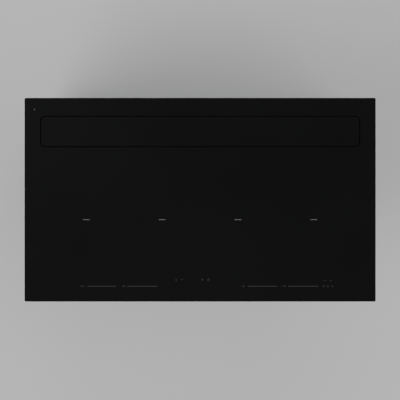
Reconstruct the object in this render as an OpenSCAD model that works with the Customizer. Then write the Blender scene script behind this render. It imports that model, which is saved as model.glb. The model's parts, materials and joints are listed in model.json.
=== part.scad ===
// Built-in induction cooktop with a downdraft tower that rises behind its four zones.
// The origin is on the worktop surface, under the middle of the glass plate.
// +X is to the right, +Y to the wall behind and +Z up. All sizes are in millimetres.

/* [Glass plate] */
// Width of the glass plate
glass_w = 900; // [880:1:940]
// Depth of the glass plate, front to back
glass_d = 522; // [518:1:545]
// Thickness of the two glass panes
glass_t = 4; // [3:0.5:6]
// Radius of the plate's corners
glass_r = 4; // [2:0.5:12]
// Thickness of the gasket between plate and worktop
gasket_t = 2; // [1.5:0.25:4]
// Width of the gasket strip
gasket_w = 8; // [5:0.5:9]
// Distance from the plate's edge to the gasket
gasket_inset = 1.5; // [0.5:0.25:2]

/* [Worktop cut-out] */
// How far the plate laps over the worktop at its left and right end
lap_ends = 12; // [11:0.5:16]
// How far the plate laps over the worktop at its front and back edge
lap_edges = 15; // [12:0.5:16]
// Gap between the edge of the cut-out and the casings that hang in it
hang_gap = 3; // [2:0.25:4]

/* [Pop-up cover] */
// Strip of plate between each end of the cover glass and the end of the plate
cover_side = 42; // [38:1:70]
// Depth of the cover glass
cover_d = 76; // [72:1:90]
// Gap between the cover glass and the plate around it
cover_gap = 2; // [1.5:0.25:4]
// Radius of the cover glass's corners
cover_r = 12; // [6:1:20]
// Strip of plate left between the cover's opening and the back edge
rear_band = 46; // [46:1:60]

/* [Casing sheet] */
// Thickness of the folded steel sheet
sheet_t = 1.2; // [0.8:0.1:1.5]
// Width of the rims folded inwards under the glass
rim_w = 10; // [6:0.5:10]

/* [Base tray] */
// Depth of the tray below the glass
tray_depth = 60; // [56:1:70]
// Room left beside the tray for the clamps
clamp_room = 14; // [13:0.5:20]
// Gap between the tray and the downdraft chassis
tray_gap = 5; // [3:0.5:12]

/* [Induction coils] */
// Room between each side wall of the tray and the nearest coil
coil_side = 39.2; // [36:0.2:50]
// Gap between neighbouring coils
coil_between = 10.4; // [8:0.2:24]
// Distance from the front edge of the plate to the coil centres
coil_from_front = 210; // [200:1:214]
// Depth of one coil, front to back
coil_d = 236; // [200:1:244]
// Thickness of the copper winding
winding_t = 5; // [3:0.5:6]
// Width of each ring of the winding
ring_w = 16; // [10:1:20]
// Distance from one ring of the winding to the next
ring_step = 24; // [21:1:26]
// Thickness of the mica sheet over each coil
mica_t = 1; // [0.5:0.25:2]
// Thickness of the plastic former under each winding
former_t = 3; // [2:0.5:4]
// Thickness of the ferrite bars
ferrite_t = 5; // [4:0.5:6]
// Thickness of the aluminium plates that carry the coils
coil_plate_t = 1.5; // [1:0.25:2.5]

/* [Power electronics] */
// Width of one power board
board_w = 280; // [250:1:290]
// Depth of one power board
board_d = 170; // [150:1:176]
// Thickness of the circuit boards
board_t = 1.6; // [1:0.2:2.4]
// Height of the boards above the tray's floor
board_lift = 12.8; // [8:0.2:14]
// Height of the heat sinks
sink_h = 22; // [16:1:23]
// Gap between the middle support posts and the cooling fans
fan_gap = 5.6; // [4:0.2:12]
// How far each power board reaches inwards past the middle of its fan
board_shift = 26; // [20:1:32]
// Side of the square cooling-fan frame
fan_size = 95; // [90:1:98]
// Height of the cooling-fan frame
fan_h = 28; // [22:1:32]

/* [Touch controls] */
// Distance from each side of the tray to the carrier behind the touch controls
controls_side = 74; // [64:1:90]
// Depth of that carrier
controls_d = 38; // [30:1:38]
// Height of that carrier
controls_h = 14; // [12:0.5:20]
// Distance from the front edge of the plate to the middle of the controls
controls_from_front = 48; // [48:1:52]

/* [Lift] */
// How far the tower rises
lift_travel = 180; // [120:5:200]
// Length of the tower that stays in the chassis when it is up
tower_keep = 70; // [50:1:90]
// Room beside the tower for its legs and guide rails
guide_room = 18.8; // [18:0.2:20]
// Distance the tower stands back from the cover glass at its ends
tower_inset_ends = 8; // [4:0.5:12]
// Distance the tower stands back from the cover glass at the front
tower_inset_front = 6; // [4:0.5:10]
// Distance the tower stands back from the cover glass at the back
tower_inset_back = 8; // [7:0.5:12]
// Height of the aluminium carrier under the cover glass
carrier_h = 12; // [8:0.5:16]
// Thickness of the two lifting legs
leg_t = 4; // [3:0.5:5]
// Sliding clearance of the guide shoes
slide_gap = 0.3; // [0.2:0.05:0.5]
// Tooth size of racks and pinions (module)
tooth = 1.5; // [1.25:0.05:1.55]
// Number of teeth on each pinion
pinion_teeth = 18; // [17:1:18]
// Width of the racks and pinions
rack_w = 10; // [8:0.5:12]
// Radius of the cross shaft
shaft_r = 5; // [4:0.25:6]
// Radius of the lifting motor
motor_r = 15; // [12:0.5:15.5]

/* [Grease filters] */
// Height of the two filters
filter_h = 140; // [90:1:146]
// Distance from the cover glass down to the filters
filter_drop = 26; // [26:0.5:34]
// Thickness of a filter
filter_t = 9; // [7:0.5:14]
// Width of the rim around a filter
filter_rim = 8; // [6:0.5:12]
// Number of baffles in each layer of a filter
baffle_count = 20; // [10:1:26]
// Height of the light strip under the cover
light_h = 10; // [6:0.5:11]

/* [Blower] */
// Width of the blower box
blower_w = 380; // [330:1:440]
// How far the blower box reaches forward from the chassis
blower_d = 262; // [256:1:300]
// Gap between the base tray and the blower box
blower_gap = 17; // [8:1:30]
// Radius of the impeller
impeller_r = 85; // [76:1:87]
// Width of the impeller
impeller_w = 110; // [80:1:116]
// Number of impeller blades
blade_count = 32; // [20:1:40]
// Width of the scroll around the impeller
scroll_w = 130; // [124:1:150]
// Height of the opening from chassis to blower
window_h = 120; // [80:1:120]

/* [Duct outlet] */
// Outside diameter of the duct collar
duct_d = 149; // [120:0.5:149]
// Length of the duct collar
duct_len = 45; // [30:1:80]
// Thickness of the collar's wall and flange
duct_t = 2; // [1.5:0.1:3]

/* [Drip tray] */
// Gap between the drip tray and the flange of the blower box
drip_gap = 12; // [10:1:40]
// Gap between the drip tray and the lifting rack on its other side
drip_side = 36; // [30:1:60]
// Height of the drip tray
drip_h = 25; // [18:1:32]
// How far the drip tray pulls out
drip_travel = 85; // [50:1:95]

/* [Fixing clamps] */
// Length of the swinging arm, from its screw to its tip
arm_len = 34; // [24:1:44]
// Width of the arm
arm_w = 8; // [6:0.5:9]
// Radius of the clamp's screw
clamp_screw_r = 2.5; // [2:0.25:3]

/* [Mains connection] */
// Diameter of the hole for the mains cable
cable_hole_d = 13; // [8:0.5:16]

/* [Hidden] */

$fn = 48;
eps = 0.5;            // how far a cut runs past the face it opens
seat_gap = 0.3;       // gap round a piece that is put in or slides
pivot_gap = 0.1;      // radial clearance of a turning pivot
bearing_gap = 0.05;   // radial clearance of a shaft in its bearing

// Glass and cut-out
glass_under = gasket_t;
glass_top = glass_under + glass_t;
hole_half_w = glass_w / 2 - lap_ends;
hole_half_d = glass_d / 2 - lap_edges;
cover_w = glass_w - 2 * cover_side;
opening_w = cover_w + 2 * cover_gap;
opening_d = cover_d + 2 * cover_gap;
cover_y = glass_d / 2 - rear_band - opening_d / 2;

// Tower
tower_half = cover_w / 2 - tower_inset_ends;
tower_front = cover_y - cover_d / 2 + tower_inset_front;
tower_back = cover_y + cover_d / 2 - tower_inset_back;
tower_top = glass_under - carrier_h;
tower_bottom = -lift_travel - tower_keep;

// Rack, pinions and cross shaft
pinion_r = tooth * pinion_teeth / 2;
rack_depth = 7.5;                                  // from its back to the tips of its teeth
rack_run = 12;                                     // length of rack past the shaft at each end of the lift
rack_lead = 8;                                     // from a raised rack's top to the underside of the glass
rack_top = -lift_travel - rack_lead;
shaft_z = rack_top - rack_run;
shaft_y = tower_back + rack_depth - tooth + pinion_r;
rack_bottom = shaft_z - lift_travel - rack_run;
rack_x = tower_half + leg_t / 2 - 1;               // middle of a rack, left and right
drive_x = -6;                                      // where the motor joins its gearbox
motor_l = 74;
gearbox_l = 46;
gearbox_foot = 26;                                 // half the height of the gearbox's foot

// Downdraft chassis
chassis_half = tower_half + guide_room + sheet_t;
chassis_in_front = cover_y - opening_d / 2 - 2;
chassis_front = chassis_in_front - sheet_t;
chassis_back = hole_half_d - hang_gap;
chassis_in_back = chassis_back - sheet_t;
floor_gap = 8;                                     // between the lowered racks and the floor
chassis_floor = rack_bottom - floor_gap;
chassis_bottom = chassis_floor - sheet_t;

// Guide rails and shoes
guide_y = (tower_front + tower_back) / 2;
leg_depth = tower_back - tower_front - 8;
rail_wall = 2;
rail_w = 24;                                       // outside width of the channel
rail_in = chassis_half - sheet_t - 12.8;
shoe_w = rail_w - 2 * rail_wall - 2 * slide_gap;
shoe_h = 24;

// Base tray
tray_half = hole_half_w - clamp_room;
tray_front = -hole_half_d + hang_gap;
tray_back = chassis_front - tray_gap;
tray_bottom = glass_under - tray_depth;
tray_floor = tray_bottom + sheet_t;

// Coil stack, from the glass down
coil_pitch = (2 * (tray_half - sheet_t - coil_side) + coil_between) / 4;
coil_w = coil_pitch - coil_between;
coil_y = -glass_d / 2 + coil_from_front;
mica_under = glass_under - mica_t;
winding_under = mica_under - winding_t;
former_under = winding_under - former_t;
ferrite_under = former_under - ferrite_t;
coil_plate_under = ferrite_under - coil_plate_t;
coil_plate_gap = 6;                                // between the left and the right plate
coil_plate_w = 2 * coil_pitch + 3;
coil_plate_d = coil_d + 12;
coil_plate_x = (coil_plate_gap + coil_plate_w) / 2;
sensor_r = 5;

// Power boards and fans
post_r = 4;
fan_x = coil_plate_x + post_r + fan_gap + fan_size / 2;
board_x = fan_x - board_shift;
board_y = tray_back - fan_size - board_d / 2 - 15;
board_under = tray_floor + board_lift;
board_top = board_under + board_t;
fan_y = tray_back - sheet_t - 3 - fan_size / 2;
fan_wall = 2;
fan_pin_r = 2;
fan_wheel_r = fan_size / 2 - 10;
fan_inlet_r = fan_wheel_r - 6;

// Touch controls
controls_w = 2 * (tray_half - controls_side);
controls_y = -glass_d / 2 + controls_from_front;
controls_wall = 2;
touch_board_under = glass_under - 6;

// Blower
blower_half = blower_w / 2;
blower_back = chassis_front;
blower_front = blower_back - blower_d;
blower_top = tray_bottom - blower_gap;
blower_flange = 12;
window_side = 15;                                  // wall left beside the window to the chassis
window_drop = 20;                                  // from the lowered tower's foot to that window
scroll_gap = 7;                                    // from the impeller to the tongue of the scroll
scroll_start = impeller_r + scroll_gap;
scroll_grow = 12;                                  // growth of the scroll's radius per quarter turn
scroll_half = scroll_w / 2;
fan_axis_y = blower_back - sheet_t - scroll_start - scroll_grow - 17;
fan_axis_z = blower_top - sheet_t - scroll_start - 2 * scroll_grow - 4;
scroll_front = fan_axis_y - scroll_start - 3 * scroll_grow;
scroll_mouth_z = fan_axis_z - scroll_start - 48;
tongue_y = scroll_front + 100;
inlet_r = impeller_r - 19;
blower_motor_r = inlet_r - 20;
motor_face = scroll_half + 1;

// Box with the blower's electronics on the right side of the blower box
driver_w = 34;
driver_l = 120;
driver_h = 90;
driver_wall = 2;
driver_y = blower_back - 70 - driver_l / 2;
driver_z = blower_top - 40 - driver_h / 2;

// Duct outlet
duct_r = duct_d / 2;
duct_in_r = duct_r - duct_t;
duct_flange = duct_d + 24;
duct_y = blower_front + duct_flange / 2 + 2;
flap_z = chassis_bottom - 8;
flap_pin_r = 1.5;
flap_sleeve_r = 2.6;
flap_offset = 4;
flap_t = 1.2;

// Drip tray
drip_w = rack_x - rack_w / 2 - drip_side - blower_half - blower_flange - drip_gap;
drip_x = -blower_half - blower_flange - drip_gap - drip_w / 2;
drip_plate = 3;
drip_low = chassis_floor + seat_gap;

// Fixing clamps
clamp_front_y = -150;
clamp_back_y = 60;
clamp_x = tray_half + 7.5;
clamp_top = -10;
clamp_low = tray_bottom + 4;
clamp_tab = 2;
clamp_z = -24;
arm_t = 8;
arm_boss_r = 5.1;

// Mains terminal box and its gland
mains_x = -tray_half + 52;
mains_y = tray_back - 60;
mains_w = 84;
mains_d = 64;
mains_h = 30;
gland_len = 22;

// Grease filters and light strip in the front of the tower
filter_w = tower_half - sheet_t - 13;
filter_top = glass_under - filter_drop;
filter_low = filter_top - filter_h;
filter_x = filter_w / 2 + 5;
filter_ledge = 5;                                  // how far the frame behind laps over a filter's edge
light_top = tower_top - 2;
light_half = tower_half - 14 - seat_gap;

// Screws: heads and threads
screw_r = 1.8;
screw_head_r = 3.6;
screw_head_h = 2.2;
screw_hole_r = 2;
flange_screw_x = blower_half + blower_flange / 2;
flange_screw_z = [for (i = [0:3]) blower_top - 20 - i * (blower_top - chassis_bottom - 40) / 3];
collar_screw = duct_flange / 2 - 7;

// Holes in the ends of the chassis for fixing it to the cabinet
cabinet_hole_r = 2.75;
cabinet_hole_step = 100;
cabinet_hole_z = (tower_bottom + chassis_bottom) / 2;
cabinet_hole_y = guide_y - rail_w / 2 - 14;

// ---------------------------------------------------------------- shapes used by several pieces

// Box between a low and a high corner
module box(low, high) {
    translate(low) cube(high - low);
}

// Flat rectangle with round corners about the origin
module rounded_rect(w, d, r) {
    square([w - 2 * r, d], center = true);
    square([w, d - 2 * r], center = true);
    for (x = [-1, 1], y = [-1, 1])
        translate([x * (w / 2 - r), y * (d / 2 - r)]) circle(r = r);
}

// Upright plate with round corners, standing on z = 0
module rounded_plate(w, d, r, t) {
    linear_extrude(t) rounded_rect(w, d, r);
}

// Ring between two round-cornered rectangles
module rounded_ring(w, d, r, band, t) {
    difference() {
        rounded_plate(w, d, r, t);
        translate([0, 0, -eps]) rounded_plate(w - 2 * band, d - 2 * band, max(r - band, 0.5), t + 2 * eps);
    }
}

// Cylinder along X from x0 to x1
module rod_x(x0, x1, y, z, r) {
    translate([x0, y, z]) rotate([0, 90, 0]) cylinder(r = r, h = x1 - x0);
}

// Cylinder along Y from y0 to y1
module rod_y(x, y0, y1, z, r) {
    translate([x, y0, z]) rotate([-90, 0, 0]) cylinder(r = r, h = y1 - y0);
}

// Cylinder along Z from z0 to z1
module rod_z(x, y, z0, z1, r) {
    translate([x, y, z0]) cylinder(r = r, h = z1 - z0);
}

// The same piece on the right and, mirrored, on the left
module both_sides() {
    children();
    mirror([1, 0, 0]) children();
}

// Pan-head screw along +Z with the underside of its head at the origin
module screw(length) {
    translate([0, 0, -screw_head_h]) cylinder(r = screw_head_r, h = screw_head_h);
    cylinder(r = screw_r, h = length);
}

// Pressure angle of the teeth, and the involute of an angle, in degrees
pressure = 20;
function involute(a) = tan(a) * 180 / PI - a;

// ---------------------------------------------------------------- glass

module glass_plate() {
    color("#17181b") difference() {
        translate([0, 0, glass_under]) rounded_plate(glass_w, glass_d, glass_r, glass_t);
        translate([0, cover_y, glass_under - eps])
            rounded_plate(opening_w, opening_d, cover_r + cover_gap, glass_t + 2 * eps);
    }
}

module worktop_gasket() {
    color("#26272a")
        rounded_ring(glass_w - 2 * gasket_inset, glass_d - 2 * gasket_inset, glass_r, gasket_w, gasket_t);
}

module cover_glass() {
    color("#17181b") translate([0, cover_y, glass_under]) rounded_plate(cover_w, cover_d, cover_r, glass_t);
}

// ---------------------------------------------------------------- base tray

// Round field of slots for a fan's inlet
module inlet_slots(r) {
    for (i = [-3:3])
        let (x = i * r / 3.6, half = sqrt(r * r - x * x))
            box([x - r / 12, -half, -eps], [x + r / 12, half, sheet_t + eps]);
}

module base_tray() {
    slot_count = 22;
    slot_step = 2 * (tray_half - 34) / (slot_count - 1);
    color("#b9bcc0") difference() {
        box([-tray_half, tray_front, tray_bottom], [tray_half, tray_back, glass_under]);
        box([-tray_half + sheet_t, tray_front + sheet_t, tray_floor],
            [tray_half - sheet_t, tray_back - sheet_t, glass_under - sheet_t]);
        box([-tray_half + rim_w, tray_front + rim_w, tray_floor],
            [tray_half - rim_w, tray_back - rim_w, glass_under + eps]);
        for (side = [-1, 1]) translate([side * fan_x, fan_y, tray_bottom]) inlet_slots(fan_inlet_r);
        for (i = [0:slot_count - 1])
            translate([-tray_half + 34 + i * slot_step, tray_front + 32, tray_bottom - eps])
                rounded_plate(6, 34, 2.9, sheet_t + 2 * eps);
        rod_z(mains_x, mains_y, tray_bottom - eps, tray_floor + eps, 12);
    }
}

// Coil number n counts from 0 at the left
function coil_x(n) = (n - 1.5) * coil_pitch;

module mica_sheets() {
    color("#d9cfb4") for (n = [0:3])
        translate([coil_x(n), coil_y, mica_under]) rounded_plate(coil_w + 4, coil_d + 4, 30, mica_t);
}

module coil_formers() {
    color("#3a3c40") for (n = [0:3]) translate([coil_x(n), coil_y, former_under]) difference() {
        rounded_plate(coil_w + 2, coil_d + 2, 40, former_t);
        translate([0, 0, -eps]) cylinder(r = sensor_r + seat_gap, h = former_t + 2 * eps);
    }
}

module coil(n) {
    color("#b06a3b") translate([coil_x(n), coil_y, winding_under]) for (ring = [0:2])
        rounded_ring(coil_w - 2 * ring * ring_step, coil_d - 2 * ring * ring_step,
            max(60 - ring * ring_step, 20), ring_w, winding_t);
}

module ferrite_bars() {
    bar_w = 14;
    bar_l = coil_d / 2 - 32;
    color("#4a4a4e") for (n = [0:3], i = [-2:2], side = [-1, 1])
        translate([coil_x(n) + i * coil_w / 6 - bar_w / 2, coil_y + side * (bar_l / 2 + 12) - bar_l / 2,
            ferrite_under]) cube([bar_w, bar_l, ferrite_t]);
}

module temperature_sensors() {
    color("#e8e6df") for (n = [0:3]) rod_z(coil_x(n), coil_y, ferrite_under, mica_under, sensor_r);
}

module coil_plates() {
    color("#c9ccd0") both_sides() translate([coil_plate_x, coil_y, coil_plate_under]) difference() {
        rounded_plate(coil_plate_w, coil_plate_d, 8, coil_plate_t);
        for (x = [-1, 1]) translate([x * coil_pitch / 2, 0, -eps]) for (y = [-1, 1])
            translate([0, y * coil_d / 2.2, 0]) cylinder(r = 5, h = coil_plate_t + 2 * eps);
    }
}

module support_posts() {
    inset = 7;
    color("#d8d8d4") both_sides() {
        for (x = [-1, 0, 1], y = [-1, 1])
            rod_z(coil_plate_x + x * (coil_plate_w / 2 - inset), coil_y + y * (coil_plate_d / 2 - inset),
                tray_floor, coil_plate_under, post_r);
        for (x = [-1, 1], y = [-1, 1])
            rod_z(board_x + x * (board_w / 2 - inset), board_y + y * (board_d / 2 - inset),
                tray_floor, board_under, 3.5);
    }
}

module power_boards() {
    color("#1f5a3c") both_sides() translate([board_x, board_y, board_under])
        rounded_plate(board_w, board_d, 4, board_t);
}

module heat_sinks() {
    sink_w = fan_size - 8;
    fin_count = 10;
    fin_t = 1.8;
    step = (sink_w - fin_t) / (fin_count - 1);
    color("#a9adb2") both_sides() translate([fan_x - sink_w / 2, board_y - board_d / 2 + 20, board_top]) {
        cube([sink_w, board_d - 34, 5]);
        for (i = [0:fin_count - 1]) translate([i * step, 0, 4]) cube([fin_t, board_d - 34, sink_h - 4]);
    }
}

module board_parts() {
    left = board_x - board_w / 2;
    right = board_x + board_w / 2;
    color("#2e3a55") both_sides() {
        for (i = [0:3]) rod_z(left + 30, board_y - 50 + i * 32, board_top, board_top + 20, 11);
        for (i = [0:1]) box([left + 48, board_y - 54 + i * 54, board_top],
            [left + 64, board_y - 20 + i * 54, board_top + 18]);
        for (i = [0:2]) box([right - 58, board_y - 62 + i * 42, board_top],
            [right - 30, board_y - 34 + i * 42, board_top + 16]);
    }
}

// ---------------------------------------------------------------- cooling fans

// Square frame, open to the front, with the pin that carries the wheel
module fan_frame() {
    half = fan_size / 2;
    difference() {
        box([-half, -half, 0], [half, half, fan_h]);
        box([-half + fan_wall, -half - eps, fan_wall], [half - fan_wall, half - fan_wall, fan_h - fan_wall]);
        translate([0, 0, -eps]) cylinder(r = fan_inlet_r, h = fan_wall + 2 * eps);
    }
    translate([0, 0, 5]) cylinder(r = fan_pin_r, h = fan_h - fan_wall - 4);
}

module fan_frames() {
    color("#232427") both_sides() translate([fan_x, fan_y, tray_floor]) fan_frame();
}

module fan_wheel() {
    low = 4;
    high = fan_h - fan_wall - 1.5;
    difference() {
        union() {
            translate([0, 0, low + 2]) cylinder(r = 13, h = high - low - 2);
            translate([0, 0, high - 1.5]) cylinder(r = fan_wheel_r, h = 1.5);
            for (i = [0:16]) rotate(i * 360 / 17) translate([fan_wheel_r - 8, -0.7, low])
                cube([7, 1.4, high - low - 1]);
        }
        cylinder(r = fan_pin_r + pivot_gap, h = fan_h);
    }
}

module fan_rotor_left() {
    color("#3c3f44") translate([-fan_x, fan_y, tray_floor]) fan_wheel();
}

module fan_rotor_right() {
    color("#3c3f44") translate([fan_x, fan_y, tray_floor]) fan_wheel();
}

// ---------------------------------------------------------------- touch controls

module control_carrier() {
    low = glass_under - controls_h;
    color("#2a2b2e") translate([0, controls_y, 0]) difference() {
        box([-controls_w / 2, -controls_d / 2, low], [controls_w / 2, controls_d / 2, glass_under]);
        box([-controls_w / 2 + controls_wall, -controls_d / 2 + controls_wall, touch_board_under],
            [controls_w / 2 - controls_wall, controls_d / 2 - controls_wall, glass_under + eps]);
        box([-controls_w / 2 + 3 * controls_wall, -controls_d / 2 + 3 * controls_wall, low + controls_wall],
            [controls_w / 2 - 3 * controls_wall, controls_d / 2 - 3 * controls_wall, glass_under + eps]);
    }
}

module control_board() {
    spring_step = 20;
    springs = floor((controls_w / 2 - 20) / spring_step);
    inset = controls_wall + seat_gap;
    color("#24583f") translate([0, controls_y, 0]) {
        box([-controls_w / 2 + inset, -controls_d / 2 + inset, touch_board_under],
            [controls_w / 2 - inset, controls_d / 2 - inset, touch_board_under + board_t]);
        for (i = [-springs:springs])
            rod_z(i * spring_step, 0, touch_board_under + board_t - 0.2, glass_under, 3);
    }
}

// ---------------------------------------------------------------- mains connection

module terminal_box() {
    color("#c8cacc") translate([mains_x, mains_y, tray_bottom - mains_h]) difference() {
        rounded_plate(mains_w, mains_d, 6, mains_h);
        translate([0, 0, sheet_t * 2]) rounded_plate(mains_w - 5, mains_d - 5, 4, mains_h);
        translate([0, 0, -eps]) cylinder(r = cable_hole_d / 2 + 3, h = 4 + eps);
    }
}

module cable_gland() {
    top = tray_bottom - mains_h;
    color("#2c2d30") difference() {
        union() {
            rod_z(mains_x, mains_y, top - gland_len, top + sheet_t * 2, cable_hole_d / 2 + 3);
            translate([mains_x, mains_y, top - 6]) cylinder(r = cable_hole_d / 2 + 8, h = 6, $fn = 6);
            translate([mains_x, mains_y, top - gland_len])
                cylinder(r = cable_hole_d / 2 + 6, h = 11, $fn = 6);
            rod_z(mains_x, mains_y, top + sheet_t * 2, top + sheet_t * 2 + 4, cable_hole_d / 2 + 6);
        }
        rod_z(mains_x, mains_y, top - gland_len - eps, top + 12, cable_hole_d / 2);
    }
}

// ---------------------------------------------------------------- fixing clamps

// Folded bracket on the right wall of the tray, about y = 0
module clamp_bracket() {
    out = clamp_x + 5.5;
    difference() {
        union() {
            box([tray_half, -13, clamp_low], [tray_half + 1.5, 13, clamp_top]);
            box([tray_half, -13, clamp_top - clamp_tab], [out, 13, clamp_top]);
            box([tray_half, -13, clamp_low], [out, 13, clamp_low + clamp_tab]);
        }
        rod_z(clamp_x, 0, clamp_low - eps, clamp_top + eps, clamp_screw_r + pivot_gap);
    }
}

module clamp_brackets() {
    color("#9da1a6") both_sides() for (y = [clamp_front_y, clamp_back_y])
        translate([0, y, 0]) clamp_bracket();
}

module clamp_screws() {
    color("#c4c7ca") both_sides() for (y = [clamp_front_y, clamp_back_y]) {
        rod_z(clamp_x, y, clamp_low, clamp_top + 1, clamp_screw_r);
        translate([clamp_x, y, clamp_low - 3.5]) cylinder(r = 4.6, h = 3.5, $fn = 6);
    }
}

// Arm on the right side, folded along the tray wall towards `way` (+1 back, -1 front)
module clamp_arm(way) {
    difference() {
        union() {
            rod_z(0, 0, clamp_z - arm_t, clamp_z, arm_boss_r);
            box([-arm_w / 2, min(0, way * arm_len), clamp_z - arm_t],
                [arm_w / 2, max(0, way * arm_len), clamp_z]);
            box([-arm_w / 2, way * (arm_len - 2) - 2, clamp_z - eps],
                [arm_w / 2, way * (arm_len - 2) + 2, clamp_z + 3]);
        }
        rod_z(0, 0, clamp_z - arm_t - eps, clamp_z + eps, clamp_screw_r + pivot_gap);
    }
}

module clamp_arm_front_right() {
    color("#8d9196") translate([clamp_x, clamp_front_y, 0]) clamp_arm(1);
}

module clamp_arm_front_left() {
    mirror([1, 0, 0]) clamp_arm_front_right();
}

module clamp_arm_back_right() {
    color("#8d9196") translate([clamp_x, clamp_back_y, 0]) clamp_arm(-1);
}

module clamp_arm_back_left() {
    mirror([1, 0, 0]) clamp_arm_back_right();
}

// ---------------------------------------------------------------- downdraft chassis

module chassis_shell() {
    color("#b4b8bc") difference() {
        box([-chassis_half, chassis_front, chassis_bottom], [chassis_half, chassis_back, glass_under]);
        box([-chassis_half + sheet_t, chassis_in_front, chassis_floor],
            [chassis_half - sheet_t, chassis_in_back, glass_under - sheet_t]);
        box([-opening_w / 2 - 2, chassis_in_front, -eps],
            [opening_w / 2 + 2, cover_y + opening_d / 2 + 2, glass_under + eps]);
        box([-blower_half + window_side, chassis_front - eps, tower_bottom - window_drop - window_h],
            [blower_half - window_side, chassis_in_front + eps, tower_bottom - window_drop]);
        box([drip_x - drip_w / 2 - seat_gap, chassis_front - eps, chassis_floor],
            [drip_x + drip_w / 2 + seat_gap, chassis_in_front + eps, drip_low + drip_h + seat_gap]);
        for (side = [-1, 1], z = flange_screw_z)
            rod_y(side * flange_screw_x, chassis_front - eps, chassis_in_front + eps, z, screw_hole_r);
        for (side = [-1, 1], z = [-0.5, 0.5])
            rod_x(side * chassis_half - 2, side * chassis_half + 2, cabinet_hole_y,
                cabinet_hole_z + z * cabinet_hole_step, cabinet_hole_r);
    }
}

// Rubber lip round the mouth of the chassis, just clear of the tower
module wiper_seal() {
    seal_t = 4;
    color("#1b1c1e") difference() {
        box([-opening_w / 2 - 5, chassis_in_front, glass_under - sheet_t - seal_t],
            [opening_w / 2 + 5, cover_y + opening_d / 2 + 5, glass_under - sheet_t]);
        box([-tower_half - slide_gap, tower_front - slide_gap, -seal_t * 2],
            [tower_half + slide_gap, tower_back + slide_gap, glass_under]);
    }
}

module guide_rails() {
    web = chassis_half - sheet_t;
    color("#8f9499") both_sides() difference() {
        box([rail_in, guide_y - rail_w / 2, chassis_floor], [web, guide_y + rail_w / 2, -16]);
        box([rail_in - eps, guide_y - rail_w / 2 + rail_wall, chassis_floor - eps],
            [web - rail_wall, guide_y + rail_w / 2 - rail_wall, 0]);
    }
}

// ---------------------------------------------------------------- lift drive

// Radius at which each point of a tooth's flank lies, from root to tip
function flank_radii(r) = [for (k = [0:4]) r * cos(pressure) + k * (r + tooth - r * cos(pressure)) / 4];

// Angle from the middle of a tooth to its flank at radius q
function flank_angle(r, q) =
    90 / pinion_teeth - 0.35 + involute(pressure) - involute(acos(min(1, r * cos(pressure) / q)));

// Spur gear with a tooth on its +X axis
module gear_outline(r) {
    root = r - 1.25 * tooth;
    qs = flank_radii(r);
    points = [for (i = [0:pinion_teeth - 1]) let (mid = i * 360 / pinion_teeth) each concat(
        [root * [cos(mid - flank_angle(r, qs[0])), sin(mid - flank_angle(r, qs[0]))]],
        [for (q = qs) q * [cos(mid - flank_angle(r, q)), sin(mid - flank_angle(r, q))]],
        [for (k = [4:-1:0]) qs[k] * [cos(mid + flank_angle(r, qs[k])), sin(mid + flank_angle(r, qs[k]))]],
        [root * [cos(mid + flank_angle(r, qs[0])), sin(mid + flank_angle(r, qs[0]))]])];
    polygon(points);
}

module pinions() {
    color("#d9b36a") both_sides()
        translate([rack_x - rack_w / 2 - 1, shaft_y, shaft_z]) rotate([0, 90, 0]) difference() {
            linear_extrude(rack_w + 2) rotate(-90) gear_outline(pinion_r);
            translate([0, 0, -eps]) cylinder(r = shaft_r + 0.02, h = rack_w + 2 + 2 * eps);
        }
}

// Toothed edge as (depth, height) points; a gap between teeth faces the pinion's middle at rest
module rack_outline() {
    pitch = PI * tooth;
    line = rack_depth - tooth;                     // pitch line above the rack's back
    half = pitch / 4 - 0.08;
    slope = tan(pressure);
    base = line - 1.25 * tooth;
    first = ceil((rack_bottom - shaft_z) / pitch + 0.5);
    last = floor((rack_top - shaft_z) / pitch - 0.5) - 1;
    teeth = [for (k = [first:last]) let (mid = shaft_z + (k + 0.5) * pitch) each [
        [base, mid - half - 1.25 * tooth * slope],
        [line + tooth, mid - half + tooth * slope],
        [line + tooth, mid + half - tooth * slope],
        [base, mid + half + 1.25 * tooth * slope]]];
    polygon(concat([[0, rack_bottom], [base, rack_bottom]], teeth, [[base, rack_top], [0, rack_top]]));
}

module racks() {
    color("#c9a45c") both_sides() translate([rack_x - rack_w / 2, tower_back, 0])
        rotate([90, 0, 90]) linear_extrude(rack_w) rack_outline();
}

module cross_shaft() {
    half = chassis_half - sheet_t - 10;
    color("#cfd2d5") rod_x(-half, half, shaft_y, shaft_z, shaft_r);
}

module bearing_blocks() {
    right = rack_x - rack_w / 2 - 4;
    color("#3b3d41") both_sides() difference() {
        union() {
            box([right - 12, shaft_y, shaft_z - 12], [right, chassis_in_back, shaft_z + 12]);
            rod_x(right - 12, right, shaft_y, shaft_z, shaft_r + 5);
        }
        rod_x(right - 13, right + 1, shaft_y, shaft_z, shaft_r + bearing_gap);
    }
}

module lift_motor() {
    color("#55585d") difference() {
        rod_x(drive_x - motor_l, drive_x, shaft_y, shaft_z, motor_r);
        rod_x(drive_x - motor_l - eps, drive_x + eps, shaft_y, shaft_z, shaft_r + bearing_gap);
    }
}

module lift_gearbox() {
    color("#2f3135") difference() {
        union() {
            rod_x(drive_x, drive_x + gearbox_l, shaft_y, shaft_z, motor_r + 1);
            box([drive_x + 2, shaft_y, shaft_z - gearbox_foot], [drive_x + gearbox_l - 2, chassis_in_back,
                shaft_z + gearbox_foot]);
        }
        rod_x(drive_x - eps, drive_x + gearbox_l + eps, shaft_y, shaft_z, shaft_r + bearing_gap);
    }
}

// ---------------------------------------------------------------- lifting tower

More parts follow.
